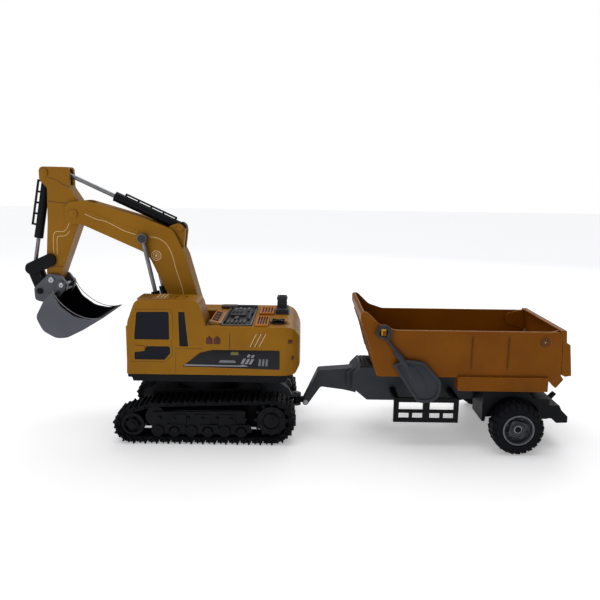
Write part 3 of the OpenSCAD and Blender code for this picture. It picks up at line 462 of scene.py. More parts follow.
def stroke(points, width):
    """The outline of a line of that width through the points."""
    left, right = [], []
    for i, point in enumerate(points):
        before, after = points[max(i - 1, 0)], points[min(i + 1, len(points) - 1)]
        along = (Vector(after) - Vector(before)).normalized() * width / 2
        left.append((point[0] - along.y, point[1] + along.x))
        right.append((point[0] + along.y, point[1] - along.x))
    return left + right[::-1]


class Piece:
    """Closed solids gathered into one mesh, in design millimetres."""

    def __init__(self):
        self.bm = bmesh.new()

    def take(self, made, bevel, turn=None):
        bmesh.ops.recalc_face_normals(made, faces=made.faces)
        if bevel:
            round_edges(made, sharp_edges(made), bevel, 2)
        if turn:
            made.transform(turn)
        data = bpy.data.meshes.new("solid")
        made.to_mesh(data)
        made.free()
        self.bm.from_mesh(data)
        bpy.data.meshes.remove(data)
        return self

    def prism(self, outline, y0, y1, bevel=0.12, turn=None, holes=(), steps=5):
        """A side outline between two depths; holes are outlines that go right through."""
        rings = [rounded(r, steps) for r in (outline, *holes)]
        made = bmesh.new()
        low, high = [], []
        for ring in rings:
            near = [made.verts.new((x, y0, z)) for x, z in ring]
            far = [made.verts.new((x, y1, z)) for x, z in ring]
            for i in range(len(ring)):
                j = (i + 1) % len(ring)
                made.faces.new((near[i], near[j], far[j], far[i]))
            low += near
            high += far
        if holes:
            flat = [[Vector((x, z, 0)) for x, z in ring] for ring in rings]
            for face in tessellate_polygon(flat):
                made.faces.new([low[i] for i in face])
                made.faces.new([high[i] for i in reversed(face)])
        else:
            made.faces.new(low)
            made.faces.new(high[::-1])
        return self.take(made, bevel, turn)

    def box(self, low, high, bevel=0.12, turn=None):
        outline = [(low[0], low[2]), (high[0], low[2]), (high[0], high[2]), (low[0], high[2])]
        return self.prism(outline, low[1], high[1], bevel, turn)

    def lathe(self, profile, centre=(0, 0), sides=36, turn=None):
        """A closed profile of (y, radius) turned about the line along Y through centre (x, z)."""
        made = bmesh.new()
        rings = []
        for y, radius in profile:
            if radius < 0.01:
                rings.append([made.verts.new((centre[0], y, centre[1]))] * sides)
            else:
                rings.append([made.verts.new((x, y, z)) for x, z in disc(centre, radius, sides)])
        for i in range(len(rings)):
            a, b = rings[i], rings[(i + 1) % len(rings)]
            for k in range(sides):
                m = (k + 1) % sides
                corners = list(dict.fromkeys((a[k], a[m], b[m], b[k])))
                if len(corners) > 2:
                    made.faces.new(corners)
        return self.take(made, 0, turn)

    def tube(self, points, radius, sides=10):
        """A round bar along a line of (x, y, z) points, closed at both ends."""
        made = bmesh.new()
        rings = []
        side = Vector((0, 1, 0))
        for i, point in enumerate(points):
            ahead = Vector(points[min(i + 1, len(points) - 1)]) - Vector(points[max(i - 1, 0)])
            ahead.normalize()
            side = (side - ahead * side.dot(ahead)).normalized()
            up = ahead.cross(side)
            size = radius[i] if isinstance(radius, (list, tuple)) else radius
            rings.append([made.verts.new(Vector(point) + side * size * math.cos(math.tau * k / sides)
                                         + up * size * math.sin(math.tau * k / sides))
                          for k in range(sides)])
        for a, b in zip(rings, rings[1:]):
            for k in range(sides):
                made.faces.new((a[k], a[(k + 1) % sides], b[(k + 1) % sides], b[k]))
        made.faces.new(rings[0][::-1])
        made.faces.new(rings[-1])
        return self.take(made, 0)

    def repeat(self, other, turns):
        """Copies of another piece, one at each turn."""
        data = bpy.data.meshes.new("copies")
        other.bm.to_mesh(data)
        for turn in turns:
            copy = data.copy()
            copy.transform(turn)
            self.bm.from_mesh(copy)
            bpy.data.meshes.remove(copy)
        bpy.data.meshes.remove(data)
        return self

    def mirrored(self):
        """Adds the same solids on the other side of the middle plane."""
        both = bmesh.ops.duplicate(self.bm, geom=self.bm.verts[:] + self.bm.edges[:] + self.bm.faces[:])
        faces = [g for g in both["geom"] if isinstance(g, bmesh.types.BMFace)]
        for g in both["geom"]:
            if isinstance(g, bmesh.types.BMVert):
                g.co.y = -g.co.y
        bmesh.ops.reverse_faces(self.bm, faces=faces)
        return self

    def other_side(self):
        """Moves the solids to the other side of the middle plane."""
        self.bm.transform(Matrix.Scale(-1, 4, (0, 1, 0)))
        bmesh.ops.reverse_faces(self.bm, faces=self.bm.faces)
        return self

    def place(self, name, body, slot, material=None):
        """Makes the object; without a material of its own it takes its slot's finish."""
        self.bm.transform(Matrix.Translation(P(0, 0, 0)) @ Matrix.Scale(MM, 4))
        data = bpy.data.meshes.new(name)
        self.bm.to_mesh(data)
        self.bm.free()
        obj = make_object(name, data)
        smooth_by_angle(data)
        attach(obj, body)
        paint(obj, material or SLOTS[slot])
        return obj


def spin(centre, degrees):
    """A turn about the line along Y through centre (x, z)."""
    middle = Matrix.Translation((centre[0], 0, centre[1]))
    return middle @ Matrix.Rotation(math.radians(degrees), 4, "Y") @ middle.inverted()


# ---- The CAD parts ----

NODE_SLOTS = {
    "excavator_yellow": ["house_shell", "cab_shell", "roof_fittings", "boom_left_half", "boom_right_half",
                         "stick_left_half", "stick_right_half"],
    "trailer_orange": ["dump_tub", "tailgate"],
    "accent_orange": ["vent_grilles"],
    "black_plastic": ["chassis_tub", "chassis_cover", "left_drive_gearbox", "right_drive_gearbox",
                      "left_track_frame", "right_track_frame", "house_base", "power_button",
                      "left_sprocket", "right_sprocket", "left_idler", "right_idler",
                      "boom_cylinder_barrels", "stick_cylinder_barrel", "bucket_cylinder_barrel",
                      "rocker", "coupler_link", "hitch_knuckle", "axle_carrier", "side_guards"],
    "dark_grey_plastic": ["slew_ring", "engine_cover", "exhaust_stack", "trailer_frame", "shovel",
                          "hitch_bracket"],
    "bucket_grey": ["bucket_bracket", "bucket_shell"],
    "track_rubber": ["left_track_belt", "right_track_belt"],
    "tyre_rubber": ["left_trailer_tyre", "right_trailer_tyre"],
    "window_glass": ["cab_windows"],
    "rod_metal": ["boom_cylinder_rods", "stick_cylinder_rod", "bucket_cylinder_rod"],
    "rim_plastic": ["left_trailer_rim", "right_trailer_rim"],
    "board_green": ["circuit_board"],
    "battery_wrap": ["battery_pack"],
}
SLOT_OF = {node: slot for slot, members in NODE_SLOTS.items() for node in members}


def slot_of(node):
    return SLOT_OF.get(node, "pin_steel")


def dress(obj, node):
    """obj stands for that CAD node: it rides on the node's body and takes its slot's finish."""
    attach(obj, nodes[node]["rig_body"])
    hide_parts(node)
    paint(obj, SLOTS[slot_of(node)])


def cab_edge(m):
    return m.z > 134 or m.x < -66 or m.x > -3


def deck_edge(m):
    return m.z > 117.5 and (abs(m.y) > 50 or m.x > 80)


def flank_edge(half):
    return lambda m: abs(abs(m.y) - half) < 0.05


WIDE = {
    "cab_shell": (1.8, cab_edge),
    "house_shell": (2.2, deck_edge),
    "boom_left_half": (1.3, flank_edge(13)),
    "boom_right_half": (1.3, flank_edge(13)),
    "stick_left_half": (1.1, flank_edge(9)),
    "stick_right_half": (1.1, flank_edge(9)),
}
# Nodes that have a more detailed piece, or a second material, of their own below
REBUILT = ["bucket_shell", "left_track_belt", "right_track_belt", "left_trailer_tyre", "right_trailer_tyre",
           "left_trailer_rim", "right_trailer_rim", "shovel", "power_button"]
FINE = {"bucket_cylinder_barrel": 0.08, "bucket_cylinder_rod": 0.08}    # nearly sharp edges


def dress_all():
    for node in sorted(nodes):
        if node in REBUILT:
            continue
        if node in WIDE:
            wide, chosen = WIDE[node]
            dress(mould(node, 0.3, wide, chosen), node)
        else:
            dress(mould(node, FINE.get(node, 0.3)), node)


# ---- Tracks ----

WHEELS = [(-67, 18.5, 18.5), (-44, 27, 17), (69.5, 24, 24)]     # x, z, radius over the shoes
SHOES = 36
BELT_INSIDE = 6.5                      # how deep the belt goes under the shoes' tips
BELT_STEPS = 24                        # points on each straight and on each turn


def belt_runs():
    """The tight loop round the wheels as (point, outward angle) pairs."""
    angles = []
    for i in range(3):
        (ax, az, ar), (bx, bz, br) = WHEELS[i], WHEELS[(i + 1) % 3]
        reach = math.hypot(bx - ax, bz - az)
        angles.append(math.atan2(bz - az, bx - ax) + math.asin((br - ar) / reach) + math.pi / 2)
    out = []
    for i in range(3):
        wheel, following = WHEELS[i], WHEELS[(i + 1) % 3]
        turn = (angles[i] - angles[(i + 1) % 3]) % math.tau
        a, b = polar(wheel, wheel[2], angles[i]), polar(following, following[2], angles[i])
        for k in range(BELT_STEPS):
            t = k / BELT_STEPS
            out.append(((a[0] + (b[0] - a[0]) * t, a[1] + (b[1] - a[1]) * t), angles[i]))
        for k in range(BELT_STEPS):
            angle = angles[i] - turn * k / BELT_STEPS
            out.append((polar(following, following[2], angle), angle))
    return out


def along_belt(count, phase):
    """count points evenly round the loop, each with its outward angle."""
    spots = belt_runs()
    spots.append(spots[0])
    lengths = [0]
    for before, after in zip(spots, spots[1:]):
        lengths.append(lengths[-1] + math.dist(before[0], after[0]))
    out = []
    for i in range(count):
        want = (i + phase) * lengths[-1] / count
        k = max(j for j in range(len(spots) - 1) if lengths[j] <= want)
        t = (want - lengths[k]) / max(lengths[k + 1] - lengths[k], 1e-6)
        (a, first), (b, last) = spots[k], spots[k + 1]
        angle = first + math.remainder(last - first, math.tau) * t
        out.append(((a[0] + (b[0] - a[0]) * t, a[1] + (b[1] - a[1]) * t), angle))
    return out


def belt_ring(depth):
    return [polar(point, -depth, angle) for point, angle in belt_runs()]


def make_track(side, body_node):
    shoe = Piece()
    shoe.prism([(-5.3, -3.7), (-5.3, -2.6), (-4.4, -2.1), (4.4, -2.1), (5.3, -2.6), (5.3, -3.7)],
               -60, -32, 0.2)
    for y0, y1 in ((-60, -47.4), (-44.6, -32)):
        shoe.prism([(-4.6, -2.3), (-3.7, 0), (-2.5, 0), (-1.9, -2.3)], y0, y1, 0.25)
    for y0, y1 in ((-59, -52), (-49.6, -42.4), (-40, -33)):
        shoe.prism([(0.6, -2.3), (1.4, -0.5), (2.6, -0.5), (3.2, -2.3)], y0, y1, 0.25)
    for y0 in (-58.6, -35.4):
        shoe.box((-5.6, y0, -5.4), (-1.2, y0 + 2, -3.5), 0.3)
        shoe.box((1.2, y0 + 0.3, -5.2), (5.6, y0 + 1.7, -3.5), 0.3)
    shoe.lathe([(-60.2, 0), (-60.2, 0.9), (-59.8, 1.2), (-56, 1.2), (-56, 0)], (0, -4.5), 12)
    turns = []
    for point, angle in along_belt(SHOES, 0.5):
        turns.append(Matrix.Translation((point[0], 0, point[1]))
                     @ Matrix.Rotation(math.pi / 2 - angle, 4, "Y"))
    track = Piece().repeat(shoe, turns)
    shoe.bm.free()
    track.prism(belt_ring(3.6), -57.6, -34.4, 0.2, holes=(belt_ring(BELT_INSIDE),))
    if side > 0:
        track.other_side()
    obj = track.place(body_node + "_shoes", "undercarriage", "track_rubber")
    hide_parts(body_node)


def make_track_details():
    guard = Piece()
    for x in (-24, 8, 40):
        guard.prism([(x - 11, 12, 1.5), (x - 9, 20, 1), (x + 9, 20, 1), (x + 11, 12, 1.5)],
                    -58.2, -56.2, 0.4)
    for x in range(-40, 45, 14):
        guard.lathe([(-58.8, 0), (-58.8, 1.3), (-58.2, 1.8), (-56, 1.8), (-56, 0)], (x, 26), 6)
    guard.prism([(-47, 30.4), (44, 32.6), (44, 34.4), (-46, 32.4)], -57.8, -56, 0.3)
    guard.mirrored()
    guard.place("track_frame_plates", "undercarriage", "black_plastic")
    roller = Piece()
    for i in range(6):
        x = -42 + 16.4 * i
        roller.lathe([(-58.3, 0), (-58.3, 1.4), (-57.7, 1.8), (-57.7, 3.6), (-58.2, 4), (-58.2, 5.4),
                      (-57.6, 5.8), (-56, 5.8), (-56, 0)], (x, 12.9), 24)
    roller.mirrored()
    roller.place("roller_caps", "undercarriage", "black_plastic")
    for side, name in ((-1, "left"), (1, "right")):
        hub = Piece()
        hub.lathe([(-57.2, 0), (-57.2, 2.2), (-56.6, 3), (-56.6, 6), (-56, 7.2), (-55.6, 0)],
                  WHEELS[2][:2], 28)
        for k in range(6):
            centre = polar(WHEELS[2], 11.2, math.radians(60 * k + 15))
            hub.lathe([(-56.8, 0), (-56.8, 0.8), (-56.4, 1.1), (-55.6, 1.1), (-55.6, 0)], centre, 8)
        axle = Piece()
        axle.lathe([(-57, 0), (-57, 1.4), (-56.4, 2.2), (-56.4, 4.6), (-55.9, 5.4), (-55.5, 0)],
                   WHEELS[0][:2], 24)
        for piece, kind, body in ((hub, "sprocket_hub", "drive_wheel"), (axle, "idler_hub", "idler_wheel")):
            if side > 0:
                piece.other_side()
            piece.place(f"{name}_{kind}", f"{name}_{body}", "black_plastic")


# ---- House ----

# Lays a side outline flat: y and z change places, so the faces are turned over afterwards
LAID_FLAT = Matrix(((1, 0, 0, 0), (0, 0, 1, 0), (0, 1, 0, 0), (0, 0, 0, 1)))


def house_piece(piece, name, slot, material=None):
    piece.place(name, "house", slot, material)


def side_mark(piece, outline, stand_off=PRINT):
    piece.prism(outline, SIDE - stand_off, SIDE, 0.08)


def make_side_prints():
    panel = Piece().prism([(-17, 78, 0.3), (0, 92, 5), (12, 95, 6), (77, 95, 1), (77, 76, 1), (0, 78)],
                          SIDE - 0.25, SIDE + 0.2, 0.1)
    house_piece(panel.mirrored(), "side_panels", "black_plastic", DETAIL["panel_black"])
    light = Piece()
    side_mark(light, [(-15.4, 79.1), (-14.2, 80.3), (39, 80), (39, 78.7)])
    side_mark(light, [(39, 78.7), (39, 80), (41.5, 81), (47, 79)])
    for x, z in ((39.4, 81.6), (43.4, 81.4), (47.2, 81.2)):
        side_mark(light, [(x, z), (x + 2.6, z), (x + 5.4, z + 5.2), (x + 2.8, z + 5.2)])
    for x, z in ((45.2, 88), (49.2, 87.6)):
        side_mark(light, [(x, z), (x + 2.4, z), (x + 4, z + 3), (x + 1.6, z + 3)])
    house_piece(light.mirrored(), "side_stripes", "accent_orange", DETAIL["print_grey"])
    bars = Piece()
    for x in (56.6, 60, 63.4):
        side_mark(bars, [(x, 79.6), (x + 2, 79.6), (x + 2.6, 86.4), (x + 0.6, 86.4)])
    side_mark(bars, [(18, 82.4, 0.4), (35, 82.4, 0.4), (34, 85, 0.4), (20, 85, 0.4)])
    house_piece(bars.mirrored(), "side_bars", "accent_orange", DETAIL["ring_light"])
    tag = Piece()
    side_mark(tag, [(30, 90.2, 0.3), (38, 90.4, 0.3), (37, 93.4, 0.3), (30, 93.2, 0.3)])
    house_piece(tag.mirrored(), "side_tag", "accent_orange", DETAIL["print_olive"])
    emblem = Piece()
    side_mark(emblem, [(6, 101, 1.2), (12.4, 100.6, 0.6), (12.4, 106, 1), (9.6, 109, 1), (6.4, 106, 1)], 0.3)
    side_mark(emblem, [(13.6, 100.6, 0.6), (20, 101, 1.2), (20, 106, 1), (17, 109, 1), (13.6, 106, 1)], 0.3)
    house_piece(emblem.mirrored(), "side_emblem", "accent_orange", DETAIL["print_red"])
    # Three pale diagonal strokes on each flank: painted highlight.
    shine = Piece()
    for x in (48.6, 53, 57.4):
        shine.prism(stroke([(x, 98.4), (x + 6.2, 111.6)], 0.8), SIDE - 0.25, SIDE, 0.06)
    house_piece(shine.mirrored(), "side_highlight_lines", "accent_orange", DETAIL["cream_print_and_painted_highlight"])
    # Brown strips along the seams and the door outline: painted shade in the grooves.
    seams = Piece()
    seams.box((28.8, SIDE - 0.1, 95.4), (29.3, SIDE + 0.3, 112), 0.05)
    seams.box((-23.9, SIDE - 0.1, 71), (-23.5, SIDE + 0.3, 79), 0.05)
    seams.prism(stroke([(-23.7, 79), (-23.7, 96), (3, 96)], 0.4), SIDE - 0.1, SIDE + 0.3, 0.04)
    seams.prism(stroke([(-66.5, 82.6), (-33, 82.6), (-26.6, 89), (-26.6, 134), (-61, 134)], 0.35),
                SIDE - 0.08, SIDE + 0.3, 0.04)
    house_piece(seams, "side_seams", "black_plastic", DETAIL["brown_lines_and_seam_shade"])
    corner = Piece()
    for x, z, size in ((87.2, 103.4, 2.2), (89.4, 87, 1.3)):
        y = -35 - math.sqrt(400 - (x - 77) ** 2)
        turn = (Matrix.Translation((x, y, z))
                @ Matrix.Rotation(math.atan2(x - 77, -(y + 35)), 4, "Z"))
        corner.box((-size, -0.35, -1.8), (size, 0.4, 1.8), 0.2, turn)
    house_piece(corner.mirrored(), "corner_marks", "black_plastic", DETAIL["print_red"])


def make_cab_details():
    frames = Piece()
    windows = [[(-63.7, 103.8, 1.8), (-28.3, 103.8, 1.8), (-28.3, 132.7, 2.4), (-60.4, 132.2, 2.4)],
               [(-20.2, 97.3, 1), (-10.3, 97.3, 1), (-13.4, 132.7, 1), (-20.7, 132.7, 1)]]
    openings = [[(-62.6, 104.9, 1.2), (-29.4, 104.9, 1.2), (-29.4, 131.6, 1.6), (-59.8, 131.1, 1.6)],
                [(-19.1, 98.4, 0.4), (-11.4, 98.4, 0.4), (-14.3, 131.6, 0.4), (-19.6, 131.6, 0.4)]]
    # Black linings set back in the window recesses: painted shade in the recesses.
    for outer, inner in zip(windows, openings):
        frames.prism(outer, SIDE + 0.6, SIDE + 1.9, 0.2, holes=(inner,))
    frames.prism([(-63.7, 83.8, 1), (-33.6, 83.8, 1), (-27.8, 90.6, 2), (-27.8, 98.7, 2), (-52, 98.7, 1),
                  (-54, 93.6, 1), (-63.7, 92.6, 1)], SIDE + 0.6, SIDE + 1.9, 0.2,
                 holes=([(-62.4, 85, 0.6), (-34.2, 85, 0.6), (-29, 91.2, 1.4), (-29, 97.4, 1.4),
                         (-51.2, 97.4, 0.6), (-53.2, 92.4, 0.6), (-62.4, 91.4, 0.6)],))
    house_piece(frames, "window_recess_shade", "black_plastic")
    handle = Piece()
    handle.prism([(-62.4, 93.6, 0.8), (-54.2, 94.2, 0.8), (-51.6, 98.4, 1.4), (-61.8, 98.2, 1.2)],
                 SIDE - 0.9, SIDE + 0.6, 0.4)
    handle.prism([(-27.4, 104, 0.4), (-25.6, 104, 0.4), (-25.6, 131, 0.4), (-27.4, 131, 0.4)],
                 SIDE - 0.5, SIDE + 0.3, 0.25)
    house_piece(handle, "door_handle", "excavator_yellow")
    vent = Piece()
    vent.box((-60.4, -50.6, ROOF - 0.4), (-49, -26.6, ROOF + 0.7), 0.3)
    house_piece(vent, "vent_frame", "accent_orange", DETAIL["hatch_cream"])
    hatch = Piece()
    hatch.prism([(-45.6, -50.6, 2), (-30.4, -50.6, 2), (-30.4, -25.4, 2), (-45.6, -25.4, 2)],
                ROOF - 0.4, ROOF + 0.9, 0.3,
                turn=LAID_FLAT)
    bmesh.ops.reverse_faces(hatch.bm, faces=hatch.bm.faces)
    house_piece(hatch, "hatch_frame", "accent_orange", DETAIL["hatch_cream"])
    bars = Piece()
    for x in (-42, -38.4, -34.8):
        bars.box((x, -47, ROOF + 0.9), (x + 1.8, -29, ROOF + 1.6), 0.25)
    house_piece(bars, "hatch_bars", "accent_orange", DETAIL["cream_print_and_painted_highlight"])


def make_deck_details():
    light = Piece()
    light.tube([(10.6, 33, DECK + 2.4), (13, 33, DECK + 2.4), (13.2, 33, DECK + 2.4),
                (28, 33, DECK + 2.4)], [2.2, 2.2, 2.5, 2.5], 16)
    for x in (20.4, 48.4):
        light.box((x - 0.2, -50.2, DECK), (x + 1.2, 36.2, DECK + 1.4), 0.25)
    light.box((20.2, -50.2, DECK), (49.6, -48.6, DECK + 1.3), 0.25)
    for i in range(5):
        x = 25.4 + 4 * i
        light.box((x, -45.4, DECK + 2.1), (x + 1.2, -34.6, DECK + 2.9), 0.2)
    for y in (-28, -22):
        light.tube([(33, y, DECK + 2.5), (33, y, DECK + 3.4)], [2.1, 1.7], 14)
    for x, y in ((27, 14.4), (31.5, 18), (36, 14.4), (40.5, 18)):
        light.box((x, y, DECK + 1.9), (x + 2.2, y + 9, DECK + 2.9), 0.3)
    light.box((26.2, -12.6, DECK + 2.8), (39.8, -10.4, DECK + 3.6), 0.25)
    light.box((26.2, 2.4, DECK + 2.8), (39.8, 4.6, DECK + 3.6), 0.25)
    house_piece(light, "engine_light_parts", "dark_grey_plastic", DETAIL["engine_light"])
    dark = Piece()
    for x in (27.4, 31.4, 35.4):
        dark.tube([(x, -8.8, DECK + 3), (x, -8.8, DECK + 4), (x, 0.8, DECK + 4), (x, 0.8, DECK + 3)], 0.8, 8)
    dark.tube([(22.6, -44, DECK + 1), (22.6, -44, DECK + 2.4), (22.6, 20, DECK + 2.4),
               (25.5, 22, DECK + 2)], 0.9, 8)
    dark.tube([(46.8, -6, DECK + 0.8), (46.8, -6, DECK + 2.8), (46.8, 30, DECK + 2.8),
               (46.8, 30, DECK + 0.8)], 0.8, 8)
    for x, y in ((22.4, -47.4), (47, -47.4), (22.4, 29), (47, 33.6), (43.4, -18), (28, -18)):
        dark.tube([(x, y, DECK + 0.7), (x, y, DECK + 1.5)], 1.1, 6)
    house_piece(dark, "engine_dark_parts", "black_plastic")
    slots = Piece()
    for x0, x1, y0, y1 in ((53, 65.5, -53, -12), (54, 69, 1, 36)):
        for i in range(4):
            x = x0 + (x1 - x0) * (i + 0.7) / 4.9
            slots.box((x + 0.1, y0 + 3.1, DECK + 0.6), (x + 1.6, y1 - 3.1, DECK + 1.1), 0.05)
    for y in (-40, -29, -18, -7):
        slots.box((10.1, y + 0.1, DECK + 2.4), (15.9, y + 8.9, DECK + 2.75), 0.05)
    house_piece(slots, "grille_slots", "black_plastic", DETAIL["panel_black"])
    border = Piece()
    for y0, y1 in ((-46, -44.2), (8.2, 10)):
        border.prism([(7.4, DECK), (19.6, DECK), (19.6, DECK + 1.8), (8, DECK + 4.4)], y0, y1, 0.25)
    border.box((18.1, -46, DECK), (19.8, 10, DECK + 1.9), 0.25)
    house_piece(border, "step_border", "accent_orange", DETAIL["hatch_cream"])
    seat = Piece()
    at_knob = Matrix.Translation((75, -36, DECK)) @ Matrix.Rotation(math.radians(90), 4, "X")
    seat.lathe([(-0.4, 9.2), (0.5, 9.6), (0.5, 10.8), (-0.4, 11.4)], (0, 0), 40, at_knob)
    house_piece(seat, "knob_ring", "excavator_yellow")
    stack = Piece()
    stack.box((70.4, 5.4, DECK - 0.2), (84.6, 32.6, DECK + 1), 0.3)
    for z in (DECK + 6.6, DECK + 9):
        stack.box((71.7, 15.7, z), (82.3, 28.3, z + 1), 0.25)
    house_piece(stack, "stack_bands", "dark_grey_plastic")
    knob = Piece()
    knob.lathe([(-1.4, 0), (-1.4, 8.1), (0.8, 8.1), (1.5, 7.4), (1.5, 5.6), (1, 5), (1, 0)], (0, 0), 40,
               at_knob)
    grip = Piece().box((-1.5, 0.9, -7.2), (1.5, 3.7, 7.2), 0.5)
    for k in range(2):
        knob.repeat(grip, [at_knob @ Matrix.Rotation(math.radians(45 + 90 * k), 4, "Y")])
    grip.bm.free()
    knob.box((72, -39, DECK - 8), (78, -33, DECK - 1), 0.2)
    obj = knob.place("power_knob", "button", "black_plastic")
    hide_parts("power_button")


# ---- Arm ----

def make_boom_prints():
    lines = Piece()
    # Cream ridges along the boom: the cream paints their glint, a painted highlight.
    for points in ([(-118.5, 220.9), (-107.6, 216.2), (-98.3, 214), (-89.7, 210), (-79.9, 204.9),
                    (-68.3, 201.3)],
                   [(-55.4, 199.1), (-47.2, 198.3), (-39.1, 193.1), (-33.4, 183.1), (-29, 166.4),
                    (-23.5, 148.4), (-21.9, 138.7)]):
        lines.prism(stroke(flowing(points), 0.7), BOOM_FACE - 0.22, BOOM_FACE + 0.3, 0.08)
    lines.mirrored().place("boom_lines", "boom", "excavator_yellow", DETAIL["cream_print_and_painted_highlight"])
    rings = Piece()
    for outer, inner in ((5.2, 4.4), (3.2, 2.6)):
        rings.prism(disc(RING_EMBLEM, outer, 36), BOOM_FACE - 0.3, BOOM_FACE + 0.2, 0.06,
                    holes=(disc(RING_EMBLEM, inner, 36),))
    rings.prism(disc(RING_EMBLEM, 1.3, 20), BOOM_FACE - 0.3, BOOM_FACE + 0.2, 0.06)
    rings.mirrored().place("boom_rings", "boom", "excavator_yellow", DETAIL["cream_print_and_painted_highlight"])


def make_stick_prints():
    lines = Piece()
    # Cream ridges on the stick: the cream paints their glint, a painted highlight.
    for points in ([(-134, 220.8), (-136.5, 210.2), (-141.4, 203.3), (-150.3, 202.6),
                    (-152.7, 196.4), (-152.8, 181)],
                   [(-135.5, 203.8), (-140.5, 199), (-147, 198.3), (-148.9, 195.9), (-149.6, 179.8)]):
        lines.prism(stroke(flowing(points), 0.6), STICK_FACE - 0.22, STICK_FACE + 0.3, 0.08)
    lines.mirrored().place("stick_lines", "stick", "excavator_yellow", DETAIL["cream_print_and_painted_highlight"])
    # Brown strips along the stick's seams: painted shade in the seams.
    seams = Piece()
    for points in ([(-155.6, 232.7), (-132, 230.8)], [(-157.6, 167.7), (-143.6, 167.4)]):
        seams.prism(stroke(points, 0.6), STICK_FACE - 0.15, STICK_FACE + 0.3, 0.05)
    seams.prism(stroke(flowing([(-154.8, 255.8), (-149.1, 254.7), (-138.9, 249.1), (-134, 247.2)]), 0.5),
                STICK_FACE - 0.15, STICK_FACE + 0.3, 0.05)
    seams.mirrored().place("stick_seams", "stick", "excavator_yellow", DETAIL["brown_lines_and_seam_shade"])


def y_reach(node, centre, near=5):
    """How far the CAD node goes towards -Y within near of centre (x, z), in design mm."""
    middle = P(centre[0], 0, centre[1])
    around = [v.co.y for v in nodes[node].data.vertices
              if math.hypot(v.co.x - middle.x, v.co.z - middle.z) < near * MM]
    return min(around) / MM


def cap(piece, centre, y, radius):
    """A round cap whose flat end lies at y."""
    back = y + 1.2
    piece.lathe([(y, 0), (y, radius - 0.5), (y + 0.5, radius), (back, radius), (back, 0)], centre, 28)
    return piece


def cross_mark(piece, centre, y, reach, width):
    """Two crossed bars at y, like the drive of a screw."""
    for turn in (20, 110):
        piece.box((centre[0] - reach, y - 0.05, centre[1] - width / 2),
                  (centre[0] + reach, y + 0.3, centre[1] + width / 2), 0.04, spin(centre, turn))


def make_bucket_details():
    shell = mould("bucket_shell")
    dress(shell, "bucket_shell")
    shell.data.materials.append(DETAIL["bucket_inside_painted_shade"])
    # Faces turned towards the bucket's middle take the second, darker material: painted shade inside the
    # bucket.
    middle = P(*BUCKET_MIDDLE)
    for face in shell.data.polygons:
        towards = (middle - face.center)
        towards.y *= 0.6
        if face.normal.dot(towards.normalized()) > 0.3:
            face.material_index = 1
    # Light grey line along the bucket's lip: painted highlight.
    rim = Piece()
    for side in (-1, 1):
        y = BUCKET_FACE * side
        line = flowing([(-147.3, 146.5), (-141, 136), (-128.7, 125.5), (-115, 119.7), (-101, 119.3)])
        rim.prism(stroke(line, 0.7), min(y, y * 1.008), max(y, y * 1.008), 0.06)
    rim.place("bucket_rim_highlight", "bucket", "bucket_grey", DETAIL["ring_light"])


def make_pin_caps():
    silver = Piece()
    marks = Piece()
    for centre, radius in ((BUCKET_PIVOT, 2.6), (BUCKET_PIN, 2.6)):
        end = y_reach("bucket_pins", centre)
        cap(silver, centre, end - 0.3, radius)
        cross_mark(marks, centre, end - 0.32, 1.5, 0.5)
    silver.mirrored().place("bucket_screw_heads", "bucket", "rod_metal", DETAIL["silver_screw"])
    marks.mirrored().place("bucket_screw_marks", "bucket", "black_plastic", DETAIL["panel_black"])
    for name, node, body, centre, radius, slot in (
            ("stick_pivot_caps", "boom_pins", "boom", (-130, 221), 4.2, "excavator_yellow"),
            ("stick_cylinder_foot_caps", "boom_pins", "boom", (-25, 208.1), 3.6, "excavator_yellow"),
            ("boom_cylinder_head_caps", "boom_pins", "boom", (-61, 198), 4.2, "dark_grey_plastic"),
            ("stick_cylinder_head_caps", "stick_pins", "stick", (-139.5, 260.3), 3, "excavator_yellow"),
            ("bucket_cylinder_foot_caps", "stick_pins", "stick", (-158.5, 260.5), 4, "excavator_yellow"),
            ("coupler_foot_caps", "bucket_pins", "bucket", (-167.5, 143), 3.2, "black_plastic"),
            ("axle_caps", "trailer_pins", "trailer", AXLE, 3.2, "black_plastic")):
        end = y_reach(node, centre)
        whole = cap(Piece(), centre, end - 0.35, radius)
        whole.prism(disc(centre, radius * 0.5, 20), end - 0.6, end, 0.1)
        whole.mirrored().place(name, body, slot)


# ---- Trailer ----

def from_tyre_face(profile):
    """A profile of (depth behind the tyre's outer face, radius) as (y, radius)."""
    return [(TYRE_OUT + depth, radius) for depth, radius in profile]


